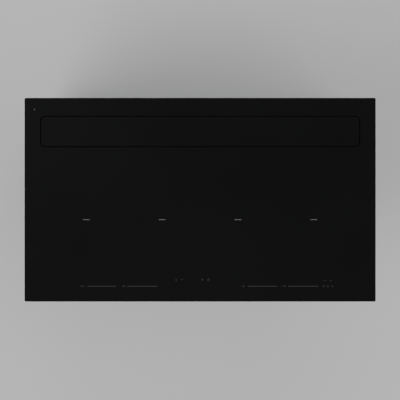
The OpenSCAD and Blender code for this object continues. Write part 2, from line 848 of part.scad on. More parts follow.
module tower_shell() {
    color("#c3c6ca") difference() {
        box([-tower_half, tower_front, tower_bottom], [tower_half, tower_back, tower_top]);
        box([-tower_half + sheet_t, tower_front + sheet_t, tower_bottom - eps],
            [tower_half - sheet_t, tower_back - sheet_t, tower_top + eps]);
        both_sides() box([filter_x - filter_w / 2 - seat_gap, tower_front - eps, filter_low - seat_gap],
            [filter_x + filter_w / 2 + seat_gap, tower_front + sheet_t + eps, filter_top + seat_gap]);
        box([-light_half - seat_gap, tower_front - eps, light_top - light_h - seat_gap],
            [light_half + seat_gap, tower_front + sheet_t + eps, light_top + seat_gap]);
    }
}

// Sheet behind the filters that they rest against, with a ledge round its two windows
module filter_frame() {
    front = tower_front + filter_t + 2 * seat_gap;
    color("#b4b8bc") difference() {
        box([-tower_half + sheet_t, front, filter_low - 8],
            [tower_half - sheet_t, front + sheet_t, tower_top]);
        both_sides() box([filter_x - filter_w / 2 + filter_ledge, front - eps, filter_low + filter_ledge],
            [filter_x + filter_w / 2 - filter_ledge, front + sheet_t + eps, filter_top - filter_ledge]);
    }
}

module cover_carrier() {
    color("#9ea2a7") difference() {
        box([-tower_half, tower_front, tower_top], [tower_half, tower_back, glass_under]);
        box([-tower_half + 3, tower_front + 3, tower_top - eps],
            [tower_half - 3, tower_back - 3, glass_under - 3]);
    }
}

// Filter on the right: a rim, two staggered layers of baffles and a pull bar
module grease_filter() {
    back = tower_front + filter_t + seat_gap;
    front = tower_front + seat_gap;
    inner_w = filter_w - 2 * filter_rim;
    step = inner_w / baffle_count;
    front_w = 0.62 * step;                          // a baffle of the front layer
    pull_left = filter_x - inner_w / 2 + (floor(baffle_count / 2) - 1) * step;
    color("#b7babd") {
        difference() {
            box([filter_x - filter_w / 2, front, filter_low], [filter_x + filter_w / 2, back, filter_top]);
            box([filter_x - inner_w / 2, front - eps, filter_low + filter_rim],
                [filter_x + inner_w / 2, back + eps, filter_top - filter_rim]);
        }
        for (i = [0:baffle_count - 1]) {
            left = filter_x - inner_w / 2 + i * step;
            box([left, front + 0.8, filter_low + filter_rim - 1],
                [left + front_w, front + 2.2, filter_top - filter_rim + 1]);
            box([left + 0.5 * step, back - 2.2, filter_low + filter_rim - 1],
                [left + 1.12 * step, back - 0.8, filter_top - filter_rim + 1]);
        }
        // the pull bar reaches over three front baffles, edge to edge
        box([pull_left, front, filter_top - filter_rim - 12],
            [pull_left + 2 * step + front_w, front + 4, filter_top - filter_rim + 1]);
    }
}

module grease_filter_right() {
    grease_filter();
}

module grease_filter_left() {
    mirror([1, 0, 0]) grease_filter();
}

module light_strip() {
    color("#f2efe4") box([-light_half, tower_front + 0.2, light_top - light_h],
        [light_half, tower_front + filter_t + 2 * seat_gap, light_top]);
}

module lift_legs() {
    color("#a4a8ad") both_sides() box([tower_half, tower_back - leg_depth, rack_bottom],
        [tower_half + leg_t, tower_back, rack_top]);
}

module guide_shoes() {
    out = chassis_half - sheet_t - rail_wall - slide_gap;
    color("#e6e4dc") both_sides() for (z = [rack_top - 12 - shoe_h, rack_bottom + 4])
        box([tower_half + leg_t, guide_y - shoe_w / 2, z], [out, guide_y + shoe_w / 2, z + shoe_h]);
}

// ---------------------------------------------------------------- blower

module blower_box() {
    color("#aeb2b6") difference() {
        union() {
            box([-blower_half, blower_front, chassis_bottom], [blower_half, blower_back, blower_top]);
            box([-blower_half - blower_flange, blower_back - sheet_t, chassis_bottom],
                [blower_half + blower_flange, blower_back, blower_top]);
        }
        box([-blower_half + sheet_t, blower_front + sheet_t, chassis_floor],
            [blower_half - sheet_t, blower_back + eps, blower_top - sheet_t]);
        rod_z(0, duct_y, chassis_bottom - eps, chassis_floor + eps, duct_in_r);
        for (side = [-1, 1], z = flange_screw_z)
            rod_y(side * flange_screw_x, blower_back - sheet_t - eps, blower_back + eps, z, screw_hole_r);
        for (x = [-1, 1], y = [-1, 1])
            rod_z(x * collar_screw, duct_y + y * collar_screw, chassis_bottom - eps, chassis_floor + eps,
                screw_hole_r);
    }
}

// Spiral seen along X, as (y, z) points from the tongue at the bottom round the back, over the
// top and down the front to the mouth
module scroll_outline(grow) {
    step = 7.5;
    turn = [for (a = [-90:step:180]) let (r = scroll_start + grow + scroll_grow * (a + 90) / 90)
        [fan_axis_y + r * cos(a), fan_axis_z + r * sin(a)]];
    polygon(concat(turn, [[scroll_front - grow, scroll_mouth_z], [tongue_y + grow, scroll_mouth_z],
        [tongue_y + grow, fan_axis_z - scroll_start - grow]]));
}

module extrude_x(half) {
    translate([-half, 0, 0]) rotate([90, 0, 90]) linear_extrude(2 * half) children();
}

module scroll_housing() {
    color("#5b5f64") {
        difference() {
            extrude_x(scroll_half) scroll_outline(0);
            difference() {
                extrude_x(scroll_half - sheet_t) scroll_outline(-sheet_t);
                box([-scroll_w, tongue_y - 1, scroll_mouth_z - 1],
                    [scroll_w, tongue_y + 40, fan_axis_z - scroll_start]);
            }
            box([-scroll_half + sheet_t, scroll_front + sheet_t, scroll_mouth_z - eps],
                [scroll_half - sheet_t, tongue_y - sheet_t, scroll_mouth_z + 3]);
            rod_x(-scroll_half - eps, scroll_half + eps, fan_axis_y, fan_axis_z, inlet_r);
        }
    }
}

module impeller() {
    half = impeller_w / 2;
    ring_t = 2;
    blade_d = 15;
    color("#34373b") difference() {
        union() {
            rod_x(-1, 1, fan_axis_y, fan_axis_z, impeller_r);
            rod_x(-14, 4, fan_axis_y, fan_axis_z, 12);
            for (side = [-1, 1]) difference() {
                rod_x(side * half - ring_t / 2, side * half + ring_t / 2, fan_axis_y, fan_axis_z, impeller_r);
                rod_x(side * half - ring_t, side * half + ring_t, fan_axis_y, fan_axis_z,
                    impeller_r - blade_d);
            }
            translate([-half, fan_axis_y, fan_axis_z]) rotate([0, 90, 0]) for (i = [0:blade_count - 1])
                rotate(i * 360 / blade_count) translate([impeller_r - blade_d + 1, 0, 0]) rotate(30)
                    cube([blade_d - 3, 1.2, impeller_w]);
        }
        rod_x(-20, 10, fan_axis_y, fan_axis_z, 4 + pivot_gap);
    }
}

module blower_motor() {
    color("#6a6e73") {
        rod_x(8, motor_face, fan_axis_y, fan_axis_z, blower_motor_r);
        rod_x(-12, 9, fan_axis_y, fan_axis_z, 4);
    }
}

module motor_bracket() {
    arm_out = inlet_r + 14;
    color("#8b8f94") {
        rod_x(motor_face, motor_face + 3, fan_axis_y, fan_axis_z, 24);
        for (a = [30, 150, 270]) translate([motor_face, fan_axis_y, fan_axis_z]) rotate([a, 0, 0]) {
            translate([0, 0, -7]) cube([3, arm_out, 14]);
            translate([-1, arm_out - 12, -7]) cube([2, 12, 14]);
        }
    }
}

// Tapered passage from the scroll's mouth to the hole in the box's floor
module outlet_passage(grow) {
    hull() {
        box([-scroll_half + sheet_t - grow, scroll_front + sheet_t - grow, scroll_mouth_z - 1],
            [scroll_half - sheet_t + grow, tongue_y - sheet_t + grow, scroll_mouth_z]);
        translate([0, duct_y, chassis_floor]) cylinder(r = duct_in_r - 2 + grow, h = 1, $fn = 32);
    }
}

module outlet_adapter() {
    color("#3f4247") difference() {
        outlet_passage(1.6);
        outlet_passage(0);
        translate([0, duct_y, chassis_floor - 1]) cylinder(r = duct_in_r - 2, h = 3);
        box([-scroll_half + sheet_t, scroll_front + sheet_t, scroll_mouth_z - 2],
            [scroll_half - sheet_t, tongue_y - sheet_t, scroll_mouth_z + 1]);
    }
}

module blower_control_box() {
    color("#3a3c40") difference() {
        box([blower_half, driver_y - driver_l / 2, driver_z - driver_h / 2],
            [blower_half + driver_w, driver_y + driver_l / 2, driver_z + driver_h / 2]);
        box([blower_half - eps, driver_y - driver_l / 2 + driver_wall, driver_z - driver_h / 2 + driver_wall],
            [blower_half + driver_w - driver_wall, driver_y + driver_l / 2 - driver_wall,
                driver_z + driver_h / 2 - driver_wall]);
    }
}

// ---------------------------------------------------------------- duct outlet

module duct_collar() {
    top = chassis_bottom;
    color("#2b2c2f") difference() {
        union() {
            translate([0, duct_y, top - duct_t]) rounded_plate(duct_flange, duct_flange, 10, duct_t);
            rod_z(0, duct_y, top - duct_t - duct_len, top, duct_r);
        }
        rod_z(0, duct_y, top - duct_t - duct_len - eps, top + eps, duct_in_r);
        for (x = [-1, 1])
            rod_y(x * flap_offset, duct_y - duct_in_r - 1, duct_y + duct_in_r + 1, flap_z, flap_pin_r);
        for (x = [-1, 1], y = [-1, 1])
            rod_z(x * collar_screw, duct_y + y * collar_screw, top - duct_t - eps, top + eps, screw_hole_r);
    }
}

module flap_pins() {
    color("#cfd2d5") for (x = [-1, 1])
        rod_y(x * flap_offset, duct_y - duct_in_r - 0.8, duct_y + duct_in_r + 0.8, flap_z, flap_pin_r);
}

// Half-round flap on the right with the sleeve that turns on its pin
module flap() {
    sleeve = duct_in_r - 8;
    color("#46494e") difference() {
        union() {
            intersection() {
                rod_z(0, duct_y, flap_z - flap_t / 2, flap_z + flap_t / 2, duct_in_r - 0.6);
                box([flap_offset, duct_y - duct_r, flap_z - 5], [duct_r, duct_y + duct_r, flap_z + 5]);
            }
            rod_y(flap_offset, duct_y - sleeve, duct_y + sleeve, flap_z, flap_sleeve_r);
        }
        rod_y(flap_offset, duct_y - duct_r, duct_y + duct_r, flap_z, flap_pin_r + pivot_gap);
    }
}

module flap_right() {
    flap();
}

module flap_left() {
    mirror([1, 0, 0]) flap();
}

// ---------------------------------------------------------------- drip tray

module drip_tray() {
    back = chassis_in_back - 6;
    front = chassis_front - seat_gap;
    low = drip_low;
    color("#d4d6d8") {
        difference() {
            box([drip_x - drip_w / 2, front - 1, low], [drip_x + drip_w / 2, back, low + drip_h]);
            box([drip_x - drip_w / 2 + 2, front + 1, low + 2],
                [drip_x + drip_w / 2 - 2, back - 2, low + drip_h + eps]);
        }
        box([drip_x - drip_w / 2 - 5, front - drip_plate, chassis_bottom],
            [drip_x + drip_w / 2 + 5, front, low + drip_h + 5]);
        translate([drip_x, front - drip_plate, low + drip_h / 2]) rotate([90, 0, 0])
            rounded_plate(60, 8, 3.9, 10);
    }
}

// ---------------------------------------------------------------- screws

module casing_screws() {
    color("#d0d3d6") {
        for (side = [-1, 1], z = flange_screw_z)
            translate([side * flange_screw_x, blower_back - sheet_t, z]) rotate([-90, 0, 0]) screw(6);
        for (x = [-1, 1], y = [-1, 1])
            translate([x * collar_screw, duct_y + y * collar_screw, chassis_bottom - duct_t]) screw(6);
    }
}

// ---------------------------------------------------------------- assembly

glass_plate();
worktop_gasket();
base_tray();
mica_sheets();
coil_formers();
coil(0);  // coil_1
coil(1);  // coil_2
coil(2);  // coil_3
coil(3);  // coil_4
ferrite_bars();
temperature_sensors();
coil_plates();
support_posts();
power_boards();
heat_sinks();
board_parts();
fan_frames();
fan_rotor_left();
fan_rotor_right();
control_carrier();
control_board();
terminal_box();
cable_gland();
clamp_brackets();
clamp_screws();
clamp_arm_front_left();
clamp_arm_front_right();
clamp_arm_back_left();
clamp_arm_back_right();
chassis_shell();
wiper_seal();
guide_rails();
lift_gearbox();
lift_motor();
bearing_blocks();
blower_box();
scroll_housing();
blower_motor();
motor_bracket();
outlet_adapter();
duct_collar();
blower_control_box();
casing_screws();
tower_shell();
filter_frame();
cover_glass();
cover_carrier();
grease_filter_left();
grease_filter_right();
light_strip();
lift_legs();
racks();
guide_shoes();
cross_shaft();
pinions();
impeller();
flap_left();
flap_right();
flap_pins();
drip_tray();
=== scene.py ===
"""Dresses the jointed downdraft induction cooktop with its glass, prints, casings and finishes."""

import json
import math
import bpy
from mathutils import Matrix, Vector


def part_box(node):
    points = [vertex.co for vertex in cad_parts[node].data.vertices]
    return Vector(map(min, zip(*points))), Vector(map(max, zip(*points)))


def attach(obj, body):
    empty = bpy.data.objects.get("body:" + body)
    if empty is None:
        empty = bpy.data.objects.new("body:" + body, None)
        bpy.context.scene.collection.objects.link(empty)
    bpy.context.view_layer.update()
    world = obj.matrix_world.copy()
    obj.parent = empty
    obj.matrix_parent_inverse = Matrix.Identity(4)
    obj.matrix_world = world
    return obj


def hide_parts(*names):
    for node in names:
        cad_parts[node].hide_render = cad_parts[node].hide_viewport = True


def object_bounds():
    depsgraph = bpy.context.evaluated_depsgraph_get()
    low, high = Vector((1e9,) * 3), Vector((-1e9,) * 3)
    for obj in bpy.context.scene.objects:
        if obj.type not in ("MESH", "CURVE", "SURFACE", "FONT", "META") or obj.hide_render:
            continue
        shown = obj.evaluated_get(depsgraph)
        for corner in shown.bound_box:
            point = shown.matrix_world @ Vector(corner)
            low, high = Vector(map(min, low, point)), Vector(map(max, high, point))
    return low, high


bl_info = {
    "name": "Downdraft Induction Cooktop",
    "version": (1, 0, 0),
    "blender": (4, 5, 0),
    "location": "View3D > Sidebar > Cooktop",
    "description": "Models the glass, printed marks and casings of a jointed downdraft cooktop",
    "category": "Object",
}

import bmesh
import bpy
from mathutils import Vector

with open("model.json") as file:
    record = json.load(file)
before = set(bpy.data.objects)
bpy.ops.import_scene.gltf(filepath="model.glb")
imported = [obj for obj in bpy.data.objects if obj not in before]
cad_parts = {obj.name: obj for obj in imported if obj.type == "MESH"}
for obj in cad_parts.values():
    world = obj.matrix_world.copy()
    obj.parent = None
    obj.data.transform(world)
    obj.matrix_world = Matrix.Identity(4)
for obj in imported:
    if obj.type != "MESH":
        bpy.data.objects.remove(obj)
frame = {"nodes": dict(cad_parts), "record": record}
CAD_LOW, CAD_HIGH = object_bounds()
MM = 0.001

GLASS_LOW, GLASS_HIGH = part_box("glass_plate")
COVER_LOW, COVER_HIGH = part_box("cover_glass")
FRONT_EDGE = GLASS_LOW.y
PRINT_THICKNESS = 0.05 * MM
GLASS_TOP = GLASS_HIGH.z - PRINT_THICKNESS


# ------------------------------------------------------------------ settings


class CooktopGlassSettings(bpy.types.PropertyGroup):
    """Sizes and colours of the two glass panes"""

    plate_corner: bpy.props.FloatProperty(
        name="Plate Corner", description="Radius of the plate's corners",
        default=4 * MM, unit="LENGTH",
    )
    cover_corner: bpy.props.FloatProperty(
        name="Cover Corner", description="Radius of the cover glass's corners",
        default=12 * MM, unit="LENGTH",
    )
    cover_gap: bpy.props.FloatProperty(
        name="Cover Gap", description="Gap between the cover glass and the plate",
        default=2 * MM, unit="LENGTH",
    )
    ground_edge: bpy.props.FloatProperty(
        name="Ground Edge", description="Width of the ground edge round each pane",
        default=0.35 * MM, unit="LENGTH",
    )
    glass_colour: bpy.props.FloatVectorProperty(
        name="Glass Colour", description="Colour of the glass ceramic",
        default=(0.0035, 0.0036, 0.0040), subtype="COLOR",
    )


class CooktopPrintSettings(bpy.types.PropertyGroup):
    """Sizes and colours of the enamel marks on the glass"""

    zone_pitch: bpy.props.FloatProperty(
        name="Zone Pitch", description="Distance between neighbouring zones",
        default=194.4 * MM, unit="LENGTH",
    )
    zone_from_front: bpy.props.FloatProperty(
        name="Zone From Front", description="Distance from the front edge to the zone marks",
        default=210.1 * MM, unit="LENGTH",
    )
    zone_mark_length: bpy.props.FloatProperty(
        name="Zone Mark Length", description="Length of a zone mark",
        default=17.5 * MM, unit="LENGTH",
    )
    zone_mark_width: bpy.props.FloatProperty(
        name="Zone Mark Width", description="Width of a zone mark",
        default=1.8 * MM, unit="LENGTH",
    )
    slider_from_front: bpy.props.FloatProperty(
        name="Slider From Front", description="Distance from the front edge to the sliders",
        default=39.5 * MM, unit="LENGTH",
    )
    slider_width: bpy.props.FloatProperty(
        name="Slider Width", description="Width of a slider's line",
        default=1.7 * MM, unit="LENGTH",
    )
    stroke: bpy.props.FloatProperty(
        name="Stroke", description="Width of the lines of the icons",
        default=0.9 * MM, unit="LENGTH",
    )
    zone_colour: bpy.props.FloatVectorProperty(
        name="Zone Colour", description="Colour of the zone marks",
        default=(0.135, 0.135, 0.135), subtype="COLOR",
    )
    slider_colour: bpy.props.FloatVectorProperty(
        name="Slider Colour", description="Colour of the sliders and icons",
        default=(0.040, 0.040, 0.040), subtype="COLOR",
    )


class CooktopCasingSettings(bpy.types.PropertyGroup):
    """Edges and details of the casings under the worktop"""

    fold_radius: bpy.props.FloatProperty(
        name="Fold Radius", description="Radius of the softened sheet edges",
        default=0.5 * MM, unit="LENGTH",
    )
    moulded_radius: bpy.props.FloatProperty(
        name="Moulded Radius", description="Radius of the softened moulded edges",
        default=0.8 * MM, unit="LENGTH",
    )
    bead_width: bpy.props.FloatProperty(
        name="Bead Width", description="Width of the stiffening beads pressed into the sheet",
        default=9 * MM, unit="LENGTH",
    )
    bead_height: bpy.props.FloatProperty(
        name="Bead Height", description="Height of the stiffening beads",
        default=1.4 * MM, unit="LENGTH",
    )
    rivet_radius: bpy.props.FloatProperty(
        name="Rivet Radius", description="Radius of a rivet's head",
        default=2.6 * MM, unit="LENGTH",
    )
    rivet_rise: bpy.props.FloatProperty(
        name="Rivet Rise", description="Height of a rivet's head",
        default=1.1 * MM, unit="LENGTH",
    )
    rivet_span: bpy.props.FloatProperty(
        name="Rivet Span", description="Share of a seam's length from its first rivet to its last",
        default=0.88, subtype="FACTOR",
    )
    seam_thickness: bpy.props.FloatProperty(
        name="Seam Thickness", description="Thickness of the lapped sheet at a seam",
        default=1 * MM, unit="LENGTH",
    )
    seam_end_gap: bpy.props.FloatProperty(
        name="Seam End Gap", description="How much shorter a seam is than its casing",
        default=5 * MM, unit="LENGTH",
    )
    cover_width: bpy.props.FloatProperty(
        name="Cover Width", description="Width of the blower's service cover",
        default=300 * MM, unit="LENGTH",
    )
    cover_height: bpy.props.FloatProperty(
        name="Cover Height", description="Height of the blower's service cover",
        default=220 * MM, unit="LENGTH",
    )
    cover_rim: bpy.props.FloatProperty(
        name="Cover Rim", description="Width of the flat rim that the cover's screws go through",
        default=26 * MM, unit="LENGTH",
    )
    cover_thickness: bpy.props.FloatProperty(
        name="Cover Thickness", description="Thickness of the sheet of covers and lids",
        default=1.2 * MM, unit="LENGTH",
    )
    bolt_radius: bpy.props.FloatProperty(
        name="Bolt Radius", description="Radius of a clamp bolt's thread",
        default=2.5 * MM, unit="LENGTH",
    )
    bolt_head: bpy.props.FloatProperty(
        name="Bolt Head", description="Height of a clamp bolt's head",
        default=3.5 * MM, unit="LENGTH",
    )
    thread_pitch: bpy.props.FloatProperty(
        name="Thread Pitch", description="Pitch of a clamp bolt's thread",
        default=0.8 * MM, unit="LENGTH",
    )
    rib_count: bpy.props.IntProperty(
        name="Rib Count", description="Number of ribs on the blower's control box", default=7, min=2,
    )
    rib_pitch: bpy.props.FloatProperty(
        name="Rib Pitch", description="Distance between neighbouring ribs",
        default=9 * MM, unit="LENGTH",
    )


class CooktopStudioSettings(bpy.types.PropertyGroup):
    """Floor, light and camera"""

    floor_colour: bpy.props.FloatVectorProperty(
        name="Floor Colour", description="Colour of the plain floor",
        default=(0.68, 0.68, 0.68), subtype="COLOR",
    )
    floor_radius: bpy.props.FloatProperty(
        name="Floor Radius", description="Radius of the round floor",
        default=20.0, unit="LENGTH",
    )
    floor_opening: bpy.props.FloatProperty(
        name="Floor Opening", description="Radius of the opening under the duct, a little inside its wall",
        default=72 * MM, unit="LENGTH",
    )
    camera_height: bpy.props.FloatProperty(
        name="Camera Height", description="Height of the camera above the glass",
        default=6.0, unit="LENGTH",
    )
    picture_width: bpy.props.FloatProperty(
        name="Picture Width", description="Width that the picture spans at the glass",
        default=1.02496, unit="LENGTH",
    )
    ceiling: bpy.props.FloatProperty(
        name="Ceiling", description="Brightness of the room straight above", default=0.09,
    )
    upper_walls: bpy.props.FloatProperty(
        name="Upper Walls", description="Brightness of the room high on its walls", default=0.2,
    )
    walls: bpy.props.FloatProperty(
        name="Walls", description="Brightness of the room at the level of the eye", default=0.75,
    )


# ------------------------------------------------------------------ modelling helpers

# Vertices nearer to each other than this are one
MERGE_DISTANCE = 1e-6
# Faces that turn less than this from each other are one
FLAT = math.radians(0.5)
# An edge or a normal counts as upright when at least this share of it points up or down
UPRIGHT = 0.98
# Share of a small step in height or width that its rounded edge takes up
EDGE_SHARE = 0.45
# Width of the slope at the rim of a sheet, as a share of its thickness
RIM_SLOPE = 0.25
# How deep a piece that is set on a sheet reaches into it
SUNK = 0.4 * MM


def pick(*objects):
    """Selects only these objects, in object mode, and makes the first one active."""
    if bpy.context.mode != "OBJECT":
        bpy.ops.object.mode_set(mode="OBJECT")
    bpy.ops.object.select_all(action="DESELECT")
    for obj in objects:
        obj.select_set(True)
    bpy.context.view_layer.objects.active = objects[0]


def edit(obj, mode="VERT", action="SELECT"):
    """Opens obj in edit mode with everything selected, or nothing."""
    pick(obj)
    bpy.ops.object.mode_set(mode="EDIT")
    bpy.ops.mesh.select_mode(type=mode)
    bpy.ops.mesh.select_all(action=action)


def choose(obj, kind, test):
    """Opens obj in edit mode with only the edges or faces selected that pass the test."""
    edit(obj, {"edges": "EDGE", "faces": "FACE"}[kind], "DESELECT")
    mesh = bmesh.from_edit_mesh(obj.data)
    for element in getattr(mesh, kind):
        element.select_set(bool(test(element)))
    mesh.select_flush_mode()
    bmesh.update_edit_mesh(obj.data)


def merge():
    """Merges the doubled vertices of the mesh that is open."""
    bpy.ops.mesh.select_all(action="SELECT")
    bpy.ops.mesh.remove_doubles(threshold=MERGE_DISTANCE)


def turn_outwards():
    """Turns every face of the mesh that is open outwards."""
    bpy.ops.mesh.select_all(action="SELECT")
    bpy.ops.mesh.normals_make_consistent(inside=False)


def close(obj):
    bpy.ops.object.mode_set(mode="OBJECT")
    return obj


def settle(obj):
    """Puts the object's place into its mesh, with the object itself at the origin."""
    pick(obj)
    bpy.ops.object.transform_apply(location=True, rotation=True, scale=True)
    return obj


def named(obj, name):
    obj.name = name
    obj.data.name = name
    return obj


def block(name, low, high):
    """A block between two corners."""
    low, high = Vector(low), Vector(high)
    bpy.ops.mesh.primitive_cube_add(size=1, location=(low + high) / 2)
    obj = bpy.context.active_object
    obj.scale = high - low
    return settle(named(obj, name))


def disc(name, foot, radius, height, sides=32):
    """An upright cylinder that stands on the foot point."""
    bpy.ops.mesh.primitive_cylinder_add(
        vertices=sides, radius=radius, depth=height, location=Vector(foot) + Vector((0, 0, height / 2))
    )
    return settle(named(bpy.context.active_object, name))


def is_upright(edge):
    a, b = (v.co for v in edge.verts)
    return abs(a.z - b.z) > UPRIGHT * (a - b).length


def round_corners(obj, radius):
    """Rounds the upright edges of a block."""
    choose(obj, "edges", is_upright)
    bpy.ops.mesh.bevel(offset=radius, segments=12, affect="EDGES")
    return close(obj)


def apply_modifier(obj, kind, **values):
    """Adds a modifier, sets it and applies it."""
    pick(obj)
    modifier = obj.modifiers.new(kind.title(), kind)
    for key, value in values.items():
        setattr(modifier, key, value)
    bpy.ops.object.modifier_apply(modifier=modifier.name)
    return obj


def smooth(obj, angle=35):
    """Shades obj smooth across edges that turn less than the angle, in degrees."""
    pick(obj)
    bpy.ops.object.shade_smooth_by_angle(angle=math.radians(angle))
    return obj


def soften(obj, width, angle=35):
    """Rounds each edge that turns more than the angle, in degrees, and shades the rest smooth."""
    apply_modifier(
        obj, "BEVEL", width=width, segments=2, limit_method="ANGLE",
        angle_limit=math.radians(angle), use_clamp_overlap=True,
    )
    smooth(obj)
    apply_modifier(obj, "WEIGHTED_NORMAL", keep_sharp=True)
    return apply_modifier(
        obj, "TRIANGULATE", quad_method="BEAUTY", ngon_method="BEAUTY", keep_custom_normals=True
    )


def cut(obj, tool):
    """Takes the tool's shape out of obj and deletes the tool."""
    apply_modifier(obj, "BOOLEAN", operation="DIFFERENCE", object=tool, solver="EXACT")
    bpy.data.objects.remove(tool)


def join(name, pieces):
    """One object of several pieces."""
    pick(*pieces)
    if len(pieces) > 1:
        bpy.ops.object.join()
    return settle(named(bpy.context.active_object, name))


def copy_node(node, name):
    """A merged copy of a CAD node's mesh, with flat faces made whole again."""
    source = frame["nodes"][node]
    obj = bpy.data.objects.new(name, source.data.copy())
    bpy.context.scene.collection.objects.link(obj)
    obj.matrix_world = source.matrix_world
    edit(obj)
    merge()
    bpy.ops.mesh.dissolve_limited(angle_limit=FLAT)
    return settle(close(obj))


def islands(node):
    """Low and high corner of each separate solid in a CAD node."""
    obj = copy_node(node, "counted")
    mesh = bmesh.new()
    mesh.from_mesh(obj.data)
    found, seen = [], set()
    for start in mesh.verts:
        if start in seen:
            continue
        group, open_ends = [], [start]
        seen.add(start)
        while open_ends:
            vert = open_ends.pop()
            group.append(vert.co.copy())
            for edge in vert.link_edges:
                other = edge.other_vert(vert)
                if other not in seen:
                    seen.add(other)
                    open_ends.append(other)
        low = Vector([min(p[i] for p in group) for i in range(3)])
        high = Vector([max(p[i] for p in group) for i in range(3)])
        found.append((low, high))
    mesh.free()
    bpy.data.objects.remove(obj)
    return found


# Turns, in degrees, that make a piece stand out from each side of the cooktop
FACE_TURNS = {
    "-Y": (90, 0, 0), "+Y": (90, 0, 180), "-X": (90, 0, -90),
    "+X": (90, 0, 90), "+Z": (0, 0, 0), "-Z": (180, 0, 0),
}


def outward(face):
    """The direction in which a side faces."""
    direction = Vector([float(axis == face[1]) for axis in "XYZ"])
    return direction if face[0] == "+" else -direction


def lay_on(obj, face, centre):
    """Moves a piece made about the origin, pointing up, so that it stands on a face."""
    obj.rotation_euler = [math.radians(a) for a in FACE_TURNS[face]]
    obj.location = Vector(centre)
    return settle(obj)


def raised(name, face, centre, width, height, corner, rise, slope):
    """A field pressed out of a sheet: a round-cornered outline that climbs over a slope."""
    bpy.ops.mesh.primitive_plane_add(size=1)
    obj = named(bpy.context.active_object, name)
    obj.scale = (width, height, 1)
    settle(obj)
    edit(obj)
    bpy.ops.mesh.bevel(offset=corner, segments=6, affect="VERTICES")
    merge()
    close(obj)
    edit(obj, "FACE")
    bpy.ops.mesh.extrude_region_move(TRANSFORM_OT_translate={"value": (0, 0, SUNK)})
    bpy.ops.mesh.inset(thickness=slope, depth=rise)
    turn_outwards()
    bpy.ops.transform.translate(value=(0, 0, -SUNK))
    close(obj)
    soften(obj, min(rise, slope) * EDGE_SHARE, angle=20)
    return lay_on(obj, face, centre)


def dome(name, radius, rise):
    """A low dome on the origin, as a rivet's head."""
    bpy.ops.mesh.primitive_uv_sphere_add(segments=16, ring_count=8, radius=radius)
    obj = named(bpy.context.active_object, name)
    obj.scale = (1, 1, rise / radius)
    settle(obj)
    edit(obj)
    bpy.ops.mesh.bisect(plane_co=(0, 0, 0), plane_no=(0, 0, 1), use_fill=True, clear_inner=True)
    return smooth(close(obj), angle=50)


# Radius and rise of the head, and length of the shank, of each kind of pan-head screw, in millimetres
PAN_SCREWS = {
    "flange": (3.6, 2.2, 6.0), "cover": (3.4, 2.0, 1.4), "drive": (3.4, 2.0, 1.0), "box": (3.2, 1.9, 1.0),
}
# Length and width of the bars of a screw's cross recess, as shares of its head's radius, and the top
# of the tool that cuts them, as a share of its head's rise
CROSS_LENGTH, CROSS_WIDTH, CROSS_TOP = 1.15, 0.3, 1.5


def pan_screw(kind):
    """A pan-head screw with a cross recess, its head on the origin and its shank below."""
    radius, rise, shank = (number * MM for number in PAN_SCREWS[kind])
    head = disc("screw", (0, 0, 0), radius, rise)
    choose(head, "faces", lambda face: face.normal.z > UPRIGHT)
    bpy.ops.mesh.bevel(offset=rise * EDGE_SHARE, segments=4, affect="EDGES")
    close(head)
    for reach in ((CROSS_LENGTH, CROSS_WIDTH), (CROSS_WIDTH, CROSS_LENGTH)):
        x, y = (share * radius / 2 for share in reach)
        cut(head, block("slot", (-x, -y, rise * EDGE_SHARE), (x, y, rise * CROSS_TOP)))
    smooth(head, angle=30)
    stem = disc("stem", (0, 0, -shank), radius / 2, shank + SUNK / 2, sides=16)
    return join("screw", [head, stem])


def strew(name, master, places):
    """Copies a master piece to several faces and centres and makes one object of them."""
    copies = []
    for face, centre in places:
        twin = master.copy()
        twin.data = master.data.copy()
        bpy.context.scene.collection.objects.link(twin)
        copies.append(lay_on(twin, face, centre))
    bpy.data.objects.remove(master)
    return join(name, copies)


# Depth of a thread's groove, radius of the three-sided ridge that is wound round the core, and how
# far the ridge's middle lies under the crest, as shares of the pitch
GROOVE_DEPTH, RIDGE_RADIUS, RIDGE_DEPTH = 0.55, 0.6, 0.62


def threaded(name, foot, radius, height, pitch):
    """An upright screw thread: a small triangle wound round a core."""
    core = disc(name, foot, radius - pitch * GROOVE_DEPTH, height, sides=24)
    middle = (radius - pitch * RIDGE_DEPTH, 0, 0)
    bpy.ops.mesh.primitive_circle_add(
        vertices=3, radius=pitch * RIDGE_RADIUS, fill_type="NOTHING", rotation=(math.pi / 2, 0, 0),
        location=middle,
    )
    ridge = settle(named(bpy.context.active_object, "ridge"))
    edit(ridge)
    bpy.ops.transform.rotate(value=math.pi / 2, orient_axis="Y", center_override=middle)
    close(ridge)
    apply_modifier(
        ridge, "SCREW", angle=2 * math.pi, screw_offset=pitch, iterations=int(height / pitch) - 1,
        steps=14, render_steps=14, use_merge_vertices=True, merge_threshold=MERGE_DISTANCE,
    )
    edit(ridge, action="DESELECT")
    bpy.ops.mesh.select_non_manifold(
        extend=False, use_boundary=True, use_wire=False, use_multi_face=False,
        use_non_contiguous=False, use_verts=False,
    )
    bpy.ops.mesh.edge_face_add()
    turn_outwards()
    close(ridge)
    ridge.location = Vector(foot)
    return join(name, [core, settle(ridge)])


# ------------------------------------------------------------------ finishes


# Most values of a noise lie between these
NOISE_LOW, NOISE_HIGH = 0.3, 0.7


